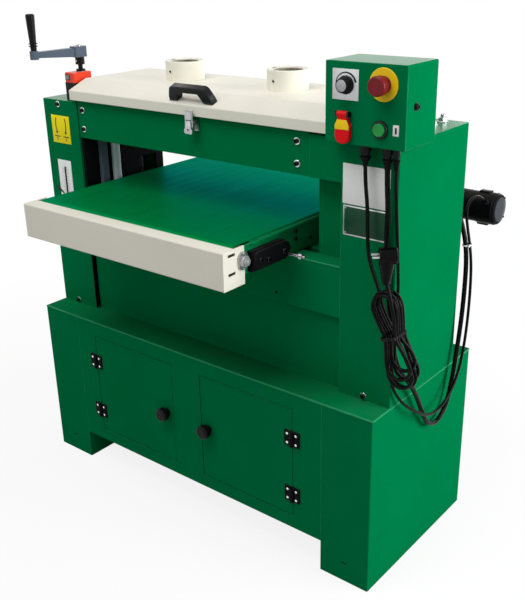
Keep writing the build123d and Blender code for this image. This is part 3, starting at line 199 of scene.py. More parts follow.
class Shape:
    """A mesh in the making, in millimetres of the machine's frame."""

    def __init__(self) -> None:
        """Start with nothing."""
        self.mesh = bmesh.new()

    def _take(self, part: bmesh.types.BMesh, stand: Matrix, finish: int) -> "Shape":
        """Put a finished lump where it stands and add it to the shape.

        Args:
            part: The lump, which is used up.
            stand: Where it stands.
            finish: Index of its finish in the piece's list.

        Returns:
            The shape itself.
        """
        bmesh.ops.transform(part, matrix=stand, verts=part.verts)
        bmesh.ops.recalc_face_normals(part, faces=part.faces)
        for face in part.faces:
            face.material_index = finish
        holder = bpy.data.meshes.new("holder")
        part.to_mesh(holder)
        part.free()
        self.mesh.from_mesh(holder)
        bpy.data.meshes.remove(holder)
        return self

    @staticmethod
    def _ease(part: bmesh.types.BMesh, edges: list, radius: float, steps: int) -> None:
        """Round some edges of a lump.

        Args:
            part: The lump.
            edges: Its edges to round.
            radius: Their radius.
            steps: Facets across an edge.
        """
        bmesh.ops.bevel(
            part, geom=edges, offset=radius, offset_type="OFFSET", segments=steps, profile=0.5,
            affect="EDGES", clamp_overlap=True,
        )

    def block(
        self, low: Spot, high: Spot, edge: float, finish: int = 0, steps: int = 2,
        stand: Matrix | None = None,
    ) -> "Shape":
        """Add a box with rounded edges.

        Args:
            low: Its lowest corner.
            high: Its highest corner.
            edge: Radius of its edges.
            finish: Index of its finish.
            steps: Facets across an edge.
            stand: Axes that it is measured in, the machine's where left out.

        Returns:
            The shape itself.
        """
        part = bmesh.new()
        bmesh.ops.create_cube(part, size=1.0)
        for vert in part.verts:
            vert.co = Vector((a + b) / 2 + c * (b - a) for a, b, c in zip(low, high, vert.co))
        self._ease(part, part.edges[:], edge, steps)
        return self._take(part, stand or Matrix(), finish)

    def plate(
        self, low: Flat, high: Flat, back: float, thick: float, edge: float, finish: int = 0
    ) -> "Shape":
        """Add a box on a face that looks to the front, from its corners' X and Z."""
        return self.block((low[0], back - thick, low[1]), (high[0], back, high[1]), edge, finish)

    def turned(
        self, profile: Sequence[tuple], stand: Matrix, sides: int, finish: int = 0,
        hollow: bool = False,
    ) -> "Shape":
        """Add a turned piece about the third axis.

        Args:
            profile: Radius, height and, where it isn't round, the Ring of each ring.
            stand: The axes it is turned about.
            sides: Facets round it.
            finish: Index of its finish.
            hollow: Whether the last ring joins the first, as in a washer.

        Returns:
            The shape itself.
        """
        part = bmesh.new()
        angles = [2 * math.pi * side / sides for side in range(sides)]
        rings = []
        for radius, height, *kind in profile:
            if radius < 1e-6:
                rings.append([part.verts.new((0, 0, height))])
                continue
            form = kind[0] if kind else Ring.ROUND
            spots = [polar(form.reach(radius, angle), angle) for angle in angles]
            rings.append([part.verts.new((*spot, height)) for spot in spots])
        pairs = list(zip(rings, rings[1:]))
        if hollow:
            pairs.append((rings[-1], rings[0]))
        for lower, upper in pairs:
            self._skin(part, lower, upper, sides)
        if not hollow:
            for ring in (rings[0], rings[-1]):
                if len(ring) > 1:
                    part.faces.new(ring)
        return self._take(part, stand, finish)

    def ring(
        self, profile: Sequence[Flat], stand: Matrix, sides: int, finish: int = 0
    ) -> "Shape":
        """Add a turned piece with a bore, whose last ring joins the first."""
        return self.turned(profile, stand, sides, finish, hollow=True)

    @staticmethod
    def _skin(part: bmesh.types.BMesh, lower: list, upper: list, sides: int) -> None:
        """Join two rings, either of which may be a point, with faces.

        Args:
            part: The lump that the rings belong to.
            lower: The first ring.
            upper: The second ring.
            sides: How many points a ring has.
        """
        for side in range(sides):
            after = (side + 1) % sides
            if len(lower) == 1:
                part.faces.new((lower[0], upper[side], upper[after]))
            elif len(upper) == 1:
                part.faces.new((lower[side], lower[after], upper[0]))
            else:
                part.faces.new((lower[side], lower[after], upper[after], upper[side]))

    def prism(
        self, outline: Sequence[Flat], bottom: float, top: float, stand: Matrix, finish: int = 0,
        hole: Sequence[Flat] | None = None, edge: float = 0.0, steps: int = 2,
    ) -> "Shape":
        """Add a straight piece with a drawn outline, and a hole with as many points where given.

        Args:
            outline: The outline's points, anticlockwise.
            bottom: Where it starts along the third axis.
            top: Where it ends.
            stand: Axes that it is drawn in.
            finish: Index of its finish.
            hole: Outline of a hole through it.
            edge: Radius of the edges round its top.
            steps: Facets across those edges.

        Returns:
            The shape itself.
        """
        part = bmesh.new()
        count = len(outline)
        low = [part.verts.new((u, v, bottom)) for u, v in outline]
        high = [part.verts.new((u, v, top)) for u, v in outline]
        self._skin(part, low, high, count)
        if hole:
            low_in = [part.verts.new((u, v, bottom)) for u, v in hole]
            high_in = [part.verts.new((u, v, top)) for u, v in hole]
            self._skin(part, high_in, low_in, count)
            self._skin(part, high, high_in, count)
            self._skin(part, low_in, low, count)
        else:
            part.faces.new(high)
            part.faces.new(low)
        if edge > 0:
            rim = [e for e in part.edges if all(vert in high for vert in e.verts)]
            self._ease(part, rim, edge, steps)
        return self._take(part, stand, finish)

    def stroke(
        self, points: Sequence[Flat], width: float, bottom: float, top: float, stand: Matrix,
        finish: int = 0,
    ) -> "Shape":
        """Add a drawn line as a thin raised strip.

        Args:
            points: The line's points.
            width: Its width.
            bottom: Where the strip starts along the third axis.
            top: Where it ends.
            stand: Axes that it is drawn in.
            finish: Index of its finish.

        Returns:
            The shape itself.
        """
        left, right = [], []
        for index, point in enumerate(points):
            before = Vector(points[max(index - 1, 0)])
            after = Vector(points[min(index + 1, len(points) - 1)])
            way = (after - before).normalized()
            side = Vector((-way.y, way.x)) * (width / 2)
            left.append(tuple(Vector(point) + side))
            right.append(tuple(Vector(point) - side))
        return self.prism(right + left[::-1], bottom, top, stand, finish)

    def swept(
        self, path: Sequence[Vector], section: Sequence[Flat], start_side: Vector
    ) -> "Shape":
        """Add a section carried along a path without twist, with closed ends.

        Args:
            path: The path's points.
            section: The section's outline, its first coordinate along the side direction.
            start_side: Direction of the section's first axis at the path's start.

        Returns:
            The shape itself.
        """
        part = bmesh.new()
        side = start_side.normalized()
        rings = []
        for index, here in enumerate(path):
            before = path[max(index - 1, 0)]
            after = path[min(index + 1, len(path) - 1)]
            way = (after - before).normalized()
            side = (side - way * side.dot(way)).normalized()
            other = way.cross(side)
            stretch = 1.0
            if 0 < index < len(path) - 1:
                half = (here - before).angle(after - here) / 2
                stretch = 1.0 / max(math.cos(half), 0.3)
            spots = [here + side * u + other * (v * stretch) for u, v in section]
            rings.append([part.verts.new(spot) for spot in spots])
        for lower, upper in zip(rings, rings[1:]):
            self._skin(part, lower, upper, len(section))
        part.faces.new(rings[0])
        part.faces.new(rings[-1])
        return self._take(part, Matrix(), 0)

    def cap_screw(
        self, stand: Matrix, radius: float, height: float, finish: int = 0, socket: bool = True
    ) -> "Shape":
        """Add a screw head with a hexagon socket, or a domed one with a dimple.

        Args:
            stand: The face it sits on.
            radius: Radius of the head.
            height: Height of the head.
            finish: Index of its finish.
            socket: Whether it has a hexagon socket.

        Returns:
            The shape itself.
        """
        rim = [(1.0, 0.0), (1.0, 0.75), (0.86, 1.0)]
        hexagon = [(0.5, 1.0, Ring.HEX), (0.5, 0.35, Ring.HEX), (0.0, 0.3)]
        dome = [(0.5, 1.15), (0.24, 1.17), (0.14, 0.8), (0.0, 0.8)]
        shares = rim + (hexagon if socket else dome)
        profile = [(radius * u, height * v, *kind) for u, v, *kind in shares]
        return self.turned(profile, stand, 24, finish)

    def dome_screw(self, stand: Matrix, radius: float, height: float, finish: int = 0) -> "Shape":
        """Add a small domed screw head or rivet."""
        return self.cap_screw(stand, radius, height, finish, socket=False)

    def washer(
        self, stand: Matrix, inner: float, outer: float, height: float, finish: int = 0
    ) -> "Shape":
        """Add a washer with an eased rim.

        Args:
            stand: The face it sits on.
            inner: Radius of its hole.
            outer: Its radius.
            height: Its thickness.
            finish: Index of its finish.

        Returns:
            The shape itself.
        """
        ease = 0.25 * height
        rim = [(outer, 0), (outer, height - ease), (outer - ease, height)]
        return self.ring([(inner, 0), *rim, (inner, height)], stand, 36, finish)


class Net:
    """A node tree being wired."""

    def __init__(self, tree: bpy.types.NodeTree) -> None:
        """Hold the tree."""
        self.tree = tree

    @classmethod
    def inside(cls, owner: bpy.types.ID) -> "Net":
        """Open the node tree of a material or a world, emptied.

        Args:
            owner: The material or the world.

        Returns:
            The net to wire in.
        """
        owner.use_nodes = True
        owner.node_tree.nodes.clear()
        return cls(owner.node_tree)

    def add(self, kind: str, inputs: dict | None = None, **settings: object) -> bpy.types.Node:
        """Add a node, set its values and link what comes from other nodes.

        Args:
            kind: The node's type name.
            inputs: Values or sockets for its inputs, by name or number.
            settings: The node's own settings.

        Returns:
            The node.
        """
        node = self.tree.nodes.new(kind)
        for name, value in settings.items():
            setattr(node, name, value)
        for name, value in (inputs or {}).items():
            socket = node.inputs[name]
            if isinstance(value, bpy.types.NodeSocket):
                self.tree.links.new(value, socket)
            else:
                socket.default_value = value
        return node

    def sum(self, work: str, first: object, second: object) -> bpy.types.NodeSocket:
        """Do arithmetic on two values or sockets."""
        return self.add("ShaderNodeMath", {0: first, 1: second}, operation=work).outputs[0]

    def spread(
        self, value: object, low: float, high: float, to_low: float, to_high: float
    ) -> bpy.types.NodeSocket:
        """Carry a value from one range to another, held at the ends.

        Args:
            value: The socket to read.
            low: Start of its range.
            high: End of its range.
            to_low: Result at the start.
            to_high: Result at the end.

        Returns:
            The result's socket.
        """
        ends = {"From Min": low, "From Max": high, "To Min": to_low, "To Max": to_high}
        return self.add("ShaderNodeMapRange", {"Value": value, **ends}, clamp=True).outputs[0]

    def around(
        self, value: object, middle: float, below: float, above: float
    ) -> bpy.types.NodeSocket:
        """Carry a value between 0 and 1 to a band about a middle value."""
        return self.spread(value, 0.0, 1.0, middle - below, middle + above)

    def blend(self, factor: object, first: object, second: object) -> bpy.types.NodeSocket:
        """Mix two colours or sockets by the second one's share."""
        inputs = {0: factor, 6: first, 7: second}
        return self.add("ShaderNodeMix", inputs, data_type="RGBA").outputs[2]

    def noise(self, vector: object, scale: object, detail: float) -> bpy.types.NodeSocket:
        """Add a noise texture and give its value."""
        inputs = {"Vector": vector, "Scale": scale, "Detail": detail, "Roughness": 0.55}
        return self.add("ShaderNodeTexNoise", inputs).outputs[0]

    def stretched(self, vector: object, scale: Spot) -> bpy.types.NodeSocket:
        """Stretch the place where textures are read along its axes."""
        return self.add("ShaderNodeMapping", {"Vector": vector, "Scale": scale}).outputs[0]

    def bump(
        self, height: object, strength: float, depth: float, ground: object = None
    ) -> bpy.types.NodeSocket:
        """Let a height shade the surface.

        Args:
            height: The height's socket.
            strength: How much of it shows.
            depth: Its depth in metres.
            ground: The normal that it starts from, the mesh's own where left out.

        Returns:
            The normal's socket.
        """
        inputs = {"Height": height, "Strength": strength, "Distance": depth}
        if ground is not None:
            inputs["Normal"] = ground
        return self.add("ShaderNodeBump", inputs).outputs[0]


@dataclass
class Effects:
    """The surface effects that several finishes share, each built once as a node group."""

    built: dict[str, bpy.types.NodeTree] = field(default_factory=dict)

    def _begin(self, name: str, inputs: dict[str, float], outputs: Sequence[str]) -> tuple:
        """Open a group with a vector input, named values and named results.

        Args:
            name: The group's name.
            inputs: Its values with their defaults.
            outputs: Its results.

        Returns:
            The net to wire in and the sockets that the group is given.
        """
        tree = bpy.data.node_groups.new(name, "ShaderNodeTree")
        face = tree.interface
        face.new_socket(name="Vector", in_out="INPUT", socket_type="NodeSocketVector")
        for label, value in inputs.items():
            socket = face.new_socket(name=label, in_out="INPUT", socket_type="NodeSocketFloat")
            socket.default_value = value
        for label in outputs:
            kind = "NodeSocketVector" if label == "Normal" else "NodeSocketFloat"
            face.new_socket(name=label, in_out="OUTPUT", socket_type=kind)
        self.built[name] = tree
        net = Net(tree)
        return net, net.add("NodeGroupInput").outputs

    def build(self) -> None:
        """Make every group."""
        for effect in (self._grain, self._wear_and_highlight, self._dust, self._streaks, self._weave):
            effect()

    def _grain(self) -> None:
        """Fine mottle and slow cloudiness, as in sprayed paint or moulded plastic."""
        net, given = self._begin("surface_grain", {"Scale": 200.0}, ("Height", "Shade"))
        fine = net.noise(given["Vector"], given["Scale"], 3.0)
        slow = net.noise(given["Vector"], 7.0, 2.0)
        cloud = net.sum("ADD", net.sum("MULTIPLY", fine, 0.35), net.sum("MULTIPLY", slow, 0.65))
        shade = net.spread(cloud, 0.3, 0.7, 0.0, 1.0)
        net.add("NodeGroupOutput", {"Height": fine, "Shade": shade})

    def _wear_and_highlight(self) -> None:
        """Rubbed edges, partly painted highlight on the green paint: where the rounded normal leaves
        the flat one, broken up by noise.
        """
        start = {"Width": 0.0024, "Amount": 0.5}
        net, given = self._begin("edge_wear_and_highlight", start, ("Mask", "Normal"))
        soft = net.add("ShaderNodeBevel", {"Radius": given["Width"]}, samples=4).outputs[0]
        hard = net.add("ShaderNodeNewGeometry").outputs["Normal"]
        near = net.add("ShaderNodeVectorMath", {0: soft, 1: hard}, operation="DOT_PRODUCT")
        edge = net.spread(near.outputs["Value"], 0.8, 0.99, 1.0, 0.0)
        ragged = net.spread(net.noise(given["Vector"], 38.0, 4.0), 0.42, 0.66, 0.4, 1.0)
        mask = net.sum("MULTIPLY", net.sum("MULTIPLY", edge, ragged), given["Amount"])
        net.add("NodeGroupOutput", {"Mask": mask, "Normal": soft})

    def _dust(self) -> None:
        """Fine dust lying on faces that look up."""
        net, given = self._begin("settled_dust", {"Amount": 0.1}, ("Mask",))
        normal = net.add("ShaderNodeNewGeometry").outputs["Normal"]
        up = net.add("ShaderNodeSeparateXYZ", {0: normal}).outputs["Z"]
        flat = net.spread(up, 0.6, 1.0, 0.0, 1.0)
        patch = net.spread(net.noise(given["Vector"], 14.0, 5.0), 0.35, 0.75, 0.0, 1.0)
        mask = net.sum("MULTIPLY", net.sum("MULTIPLY", flat, patch), given["Amount"])
        net.add("NodeGroupOutput", {"Mask": mask})

    def _streaks(self) -> None:
        """Fine lines left by turning, grinding or brushing, along the stretched axis."""
        net, given = self._begin("tool_lines", {"Scale": 1.0}, ("Height", "Shade"))
        lines = net.noise(given["Vector"], given["Scale"], 4.0)
        shade = net.spread(lines, 0.3, 0.7, 0.0, 1.0)
        net.add("NodeGroupOutput", {"Height": lines, "Shade": shade})

    def _weave(self) -> None:
        """Crossed threads pressed into a coated belt."""
        net, given = self._begin("pressed_weave", {"Scale": 300.0}, ("Height",))
        inputs = {"Vector": given["Vector"], "Scale": given["Scale"]}
        rows = [net.add("ShaderNodeTexWave", inputs, bands_direction=way) for way in "XY"]
        threads = net.sum("MULTIPLY", rows[0].outputs[1], rows[1].outputs[1])
        net.add("NodeGroupOutput", {"Height": threads})

    def place(self, net: Net, name: str, vector: object, **values: float) -> object:
        """Put a group into a material with its own values.

        Args:
            net: The material's net.
            name: The group's name.
            vector: Where its textures are read.
            values: Its values, by their names in small letters.

        Returns:
            The group's outputs, by name.
        """
        inputs = {label.capitalize(): value for label, value in values.items()}
        inputs["Vector"] = vector
        return net.add("ShaderNodeGroup", inputs, node_tree=self.built[name]).outputs


EFFECTS = Effects()


@dataclass(frozen=True)
class Paint:
    """Sprayed and baked paint on sheet metal."""

    colour: Colour
    shade: Colour
    rub_and_highlight: Colour
    roughness: float = 0.38
    peel: float = 0.12
    grain: float = 260.0
    wear_and_highlight: float = 0.35
    dust: float = 0.05
    gloss: float = 0.02
    coat: float = 0.8
    coat_index: float = 1.5
    coat_roughness: float = 0.24
    coat_slant: Flat = (0.68, 0.92)
    peel_depth: float = 0.0006
    dust_tone: Colour = srgb(196, 186, 168)

    def wire(self, net: Net, where: bpy.types.NodeSocket) -> dict[str, object]:
        """Wire a cloudy colour, rubbed edges that are partly painted highlights, dust, orange peel
        and a clear coat.

        Args:
            net: The material's net.
            where: The object's coordinates.

        Returns:
            The shader's inputs.
        """
        skin = EFFECTS.place(net, "surface_grain", where, scale=self.grain)
        edge = EFFECTS.place(net, "edge_wear_and_highlight", where, amount=self.wear_and_highlight)
        dust = EFFECTS.place(net, "settled_dust", where, amount=self.dust)
        tone = net.blend(skin["Shade"], self.colour, self.shade)
        # painted highlight: a lighter rub colour along edges, partly wear and partly light caught on
        # rounded bends
        worn_and_highlit = net.blend(edge["Mask"], tone, self.rub_and_highlight)
        slant = net.add("ShaderNodeLayerWeight", {"Blend": 0.5}).outputs["Facing"]
        return {
            "Base Color": net.blend(dust["Mask"], worn_and_highlit, self.dust_tone),
            "Roughness": net.around(skin["Shade"], self.roughness, 0.05, 0.06),
            "Specular IOR Level": self.gloss,
            "Coat Weight": net.spread(slant, *self.coat_slant, 0.0, self.coat),
            "Coat Roughness": self.coat_roughness,
            "Coat IOR": self.coat_index,
            "Normal": net.bump(skin["Height"], self.peel, self.peel_depth, edge["Normal"]),
        }


@dataclass(frozen=True)
class Plastic:
    """Moulded plastic with a fine spark-eroded grain."""

    colour: Colour
    shade: Colour
    roughness: float = 0.42
    grain: float = 900.0
    depth: float = 0.15
    gloss: float = 0.45
    dust: float = 0.04
    dust_tone: Colour = srgb(170, 164, 152)

    def wire(self, net: Net, where: bpy.types.NodeSocket) -> dict[str, object]:
        """Wire a mottled colour, grain and a little dust.

        Args:
            net: The material's net.
            where: The object's coordinates.

        Returns:
            The shader's inputs.
        """
        skin = EFFECTS.place(net, "surface_grain", where, scale=self.grain)
        dust = EFFECTS.place(net, "settled_dust", where, amount=self.dust)
        tone = net.blend(skin["Shade"], self.colour, self.shade)
        return {
            "Base Color": net.blend(dust["Mask"], tone, self.dust_tone),
            "Roughness": net.around(skin["Shade"], self.roughness, 0.06, 0.06),
            "Specular IOR Level": self.gloss,
            "Normal": net.bump(skin["Height"], self.depth, 0.0003),
        }


@dataclass(frozen=True)
class Metal:
    """Bare metal with the lines of the tool that finished it."""

    colour: Colour
    shade: Colour
    roughness: float = 0.32
    lines: Spot = (40.0, 900.0, 900.0)
    depth: float = 0.12

    def wire(self, net: Net, where: bpy.types.NodeSocket) -> dict[str, object]:
        """Wire a streaked colour and roughness, with shallow tool lines.

        Args:
            net: The material's net.
            where: The object's coordinates.

        Returns:
            The shader's inputs.
        """
        lines = EFFECTS.place(net, "tool_lines", net.stretched(where, self.lines), scale=1.0)
        return {
            "Base Color": net.blend(lines["Shade"], self.colour, self.shade),
            "Roughness": net.around(lines["Shade"], self.roughness, 0.06, 0.08),
            "Metallic": 1.0,
            "Normal": net.bump(lines["Height"], self.depth, 0.0002),
        }


@dataclass(frozen=True)
class BeltCloth:
    """A coated feed belt with a weave pressed into it and faint tracks along it."""

    colour: Colour
    shade: Colour
    roughness: float = 0.36
    grain: float = 420.0
    weave: float = 330.0
    tracks: Spot = (46.0, 3.0, 3.0)
    sheen: Colour = srgb(20, 200, 150)
    glance: Colour = (0.14, 0.6, 1.0, 1.0)

    def wire(self, net: Net, where: bpy.types.NodeSocket) -> dict[str, object]:
        """Wire a cloudy colour, the pressed weave, the tracks and a soft sheen.

        Args:
            net: The material's net.
            where: The object's coordinates.

        Returns:
            The shader's inputs.
        """
        skin = EFFECTS.place(net, "surface_grain", where, scale=self.grain)
        threads = EFFECTS.place(net, "pressed_weave", where, scale=self.weave)
        tracks = EFFECTS.place(net, "tool_lines", net.stretched(where, self.tracks), scale=1.0)
        tone = net.blend(skin["Shade"], self.colour, self.shade)
        height = net.sum("ADD", threads["Height"], skin["Height"])
        return {
            "Base Color": net.blend(net.sum("MULTIPLY", tracks["Shade"], 0.35), tone, self.shade),
            "Roughness": net.around(tracks["Shade"], self.roughness, 0.04, 0.1),
            "Metallic": 0.5,
            "Specular IOR Level": 0.0,
            "Specular Tint": self.glance,
            "Sheen Weight": 0.1,
            "Sheen Roughness": 0.42,
            "Sheen Tint": self.sheen,
            "Normal": net.bump(height, 0.12, 0.0004),
        }


@dataclass(frozen=True)
class Grit:
    """Abrasive cloth wound on a drum."""

    colour: Colour
    shade: Colour
    join: Colour
    grain: float = 1500.0
    turns: float = 4.2

    def wire(self, net: Net, where: bpy.types.NodeSocket) -> dict[str, object]:
        """Wire coarse grains and the dark join of the wound strip.

        Args:
            net: The material's net.
            where: The object's coordinates.

        Returns:
            The shader's inputs.
        """
        skin = EFFECTS.place(net, "surface_grain", where, scale=self.grain)
        inputs = {"Vector": where, "Scale": self.turns, "Distortion": 0.4}
        seam = net.add("ShaderNodeTexWave", inputs, bands_direction="DIAGONAL").outputs[1]
        tone = net.blend(skin["Shade"], self.colour, self.shade)
        return {
            "Base Color": net.blend(net.spread(seam, 0.0, 0.06, 0.7, 0.0), tone, self.join),
            "Roughness": net.spread(skin["Height"], 0.0, 1.0, 0.8, 0.95),
            "Normal": net.bump(skin["Height"], 0.6, 0.0008),
        }


class Finish(Enum):
    """The finishes of the machine, each with what it is made of."""

    # the green's strong, light rub along every edge is partly painted highlight
    green_paint = Paint(
        srgb(0, 122, 71), srgb(0, 115, 66), srgb(70, 180, 132), 0.36, 0.10, 260.0, wear_and_highlight=0.8,
        dust=0.015, gloss=0.0, coat=1.0, coat_index=2.3,
    )
    # painted highlight: a lighter green for strips that stand for light caught on rounded edges
    green_painted_highlight = Paint(
        srgb(50, 154, 104), srgb(40, 142, 94), srgb(110, 195, 152), 0.30, 0.10, 260.0, wear_and_highlight=0.3,
        dust=0.0, gloss=0.0, coat=1.0,
    )
    cream_paint = Paint(
        srgb(237, 234, 221), srgb(231, 228, 214), srgb(243, 241, 233), 0.48, 0.16, 420.0,
        wear_and_highlight=0.25, dust=0.04, gloss=0.1, coat=0.2,
    )
    black_paint = Paint(srgb(16, 17, 19), srgb(22, 23, 25), srgb(74, 74, 76), 0.44, 0.16, 380.0)
    grey_paint = Paint(srgb(98, 110, 126), srgb(84, 96, 112), srgb(140, 148, 158), 0.40, 0.14)
    cast_grey = Paint(
        srgb(74, 78, 82), srgb(60, 64, 68), srgb(126, 128, 130), 0.62, 0.5, 160.0, wear_and_highlight=0.5
    )
    bright_steel = Metal(srgb(190, 191, 193), srgb(160, 162, 165), 0.30)
    chrome = Metal(srgb(222, 224, 228), srgb(206, 208, 213), 0.12, (500.0, 500.0, 60.0), 0.05)
    cast_aluminium = Metal(
        srgb(190, 191, 190), srgb(164, 166, 166), 0.44, (260.0, 260.0, 260.0), 0.2
    )
    plate_silver = Metal(srgb(184, 186, 187), srgb(170, 172, 174), 0.42, (900.0, 900.0, 30.0), 0.1)
    dial_cap = Metal(srgb(150, 152, 154), srgb(126, 128, 131), 0.42, (260.0, 260.0, 260.0), 0.3)
    abrasive = Grit(srgb(112, 70, 50), srgb(84, 50, 38), srgb(60, 34, 24))
    belt_green = BeltCloth(srgb(0, 138, 66), srgb(0, 127, 60))
    black_plastic = Plastic(srgb(9, 9, 11), srgb(13, 13, 15), 0.38, 900.0, 0.15, 0.12)
    gloss_black = Plastic(srgb(7, 8, 13), srgb(11, 12, 18), 0.22, 500.0, 0.05, 0.22)
    black_rubber = Plastic(srgb(5, 5, 6), srgb(8, 8, 9), 0.22, 1200.0, 0.14, 0.07, dust=0.0)
    red_plastic = Plastic(srgb(238, 14, 26), srgb(226, 10, 22), 0.30, 700.0, 0.06, 0.12)
    dark_red = Plastic(srgb(126, 18, 30), srgb(112, 14, 26), 0.34, 700.0, 0.08, 0.2)
    yellow_plastic = Plastic(srgb(255, 216, 36), srgb(250, 208, 28), 0.34, 700.0, 0.06, 0.15)
    green_plastic = Plastic(srgb(10, 160, 66), srgb(8, 144, 58), 0.28, 700.0, 0.06, 0.3)
    orange_plastic = Plastic(srgb(250, 70, 34), srgb(238, 60, 28), 0.34, 700.0, 0.08, 0.3)
    white_plastic = Plastic(srgb(240, 240, 236), srgb(232, 232, 228), 0.42, 700.0, 0.06, 0.3)
    # painted reflection: a pale bluish grey on a plastic shader stands for the polished guide posts'
    # reflection
    post_painted_reflection = Plastic(srgb(210, 216, 226), srgb(192, 199, 210), 0.26, 900.0, 0.05, 0.5, dust=0.0)
    plate_pale = Plastic(srgb(250, 251, 250), srgb(245, 246, 245), 0.46, 600.0, 0.05, 0.2)
    plate_dark = Plastic(srgb(4, 66, 40), srgb(4, 58, 34), 0.40, 600.0, 0.05, 0.2)
    plate_yellow = Plastic(srgb(255, 240, 30), srgb(250, 230, 24), 0.42, 600.0, 0.05, 0.15)
    window_grey = Plastic(srgb(138, 150, 140), srgb(116, 128, 120), 0.18, 300.0, 0.03, 0.5)
    ink = Plastic(srgb(18, 18, 20), srgb(26, 26, 28), 0.55, 900.0, 0.05, 0.2)


class Paintshop:
    """Keeps each finish's material and makes it the first time it is asked for."""

    def __init__(self) -> None:
        """Start with an empty shelf."""
        self.shelf: dict[Finish, bpy.types.Material] = {}

    def get(self, finish: Finish) -> bpy.types.Material:
        """Give a finish's material.

        Args:
            finish: The finish.

        Returns:
            Its material.
        """
        if finish not in self.shelf:
            material = bpy.data.materials.new(finish.name)
            net = Net.inside(material)
            where = net.add("ShaderNodeTexCoord").outputs["Object"]
            shader = net.add("ShaderNodeBsdfPrincipled", finish.value.wire(net, where))
            net.add("ShaderNodeOutputMaterial", {"Surface": shader.outputs[0]})
            self.shelf[finish] = material
        return self.shelf[finish]


SHOP = Paintshop()


def make_piece(
    name: str, shape: Shape, finishes: Sequence[Finish], body: str, stands_for: Sequence[str] = (),
    rides: bool = True,
) -> bpy.types.Object:
    """Turn a shape into a piece of the machine.

    Args:
        name: The piece's name.
        shape: Its shape, which is used up.
        finishes: Its finishes, in the order of their indices.
        body: The body it moves with.
        stands_for: Nodes that it is shown instead of.
        rides: Whether it rides on the body at once.

    Returns:
        The new object.
    """
    bmesh.ops.scale(shape.mesh, vec=(MM, MM, MM), verts=shape.mesh.verts)
    mesh = bpy.data.meshes.new(name)
    shape.mesh.to_mesh(mesh)
    shape.mesh.free()
    for finish in finishes:
        mesh.materials.append(SHOP.get(finish))
    mesh.polygons.foreach_set("use_smooth", [True] * len(mesh.polygons))
    mesh.set_sharp_from_angle(angle=SHARP_ANGLE)
    piece = show(bpy.data.objects.new(name, mesh))
    if rides:
        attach(piece, body)
    if stands_for:
        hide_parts(*stands_for)
    log.info("%s rides on %s", name, body)
    return piece


Rule = tuple[Finish, Callable[[Vector], bool]]


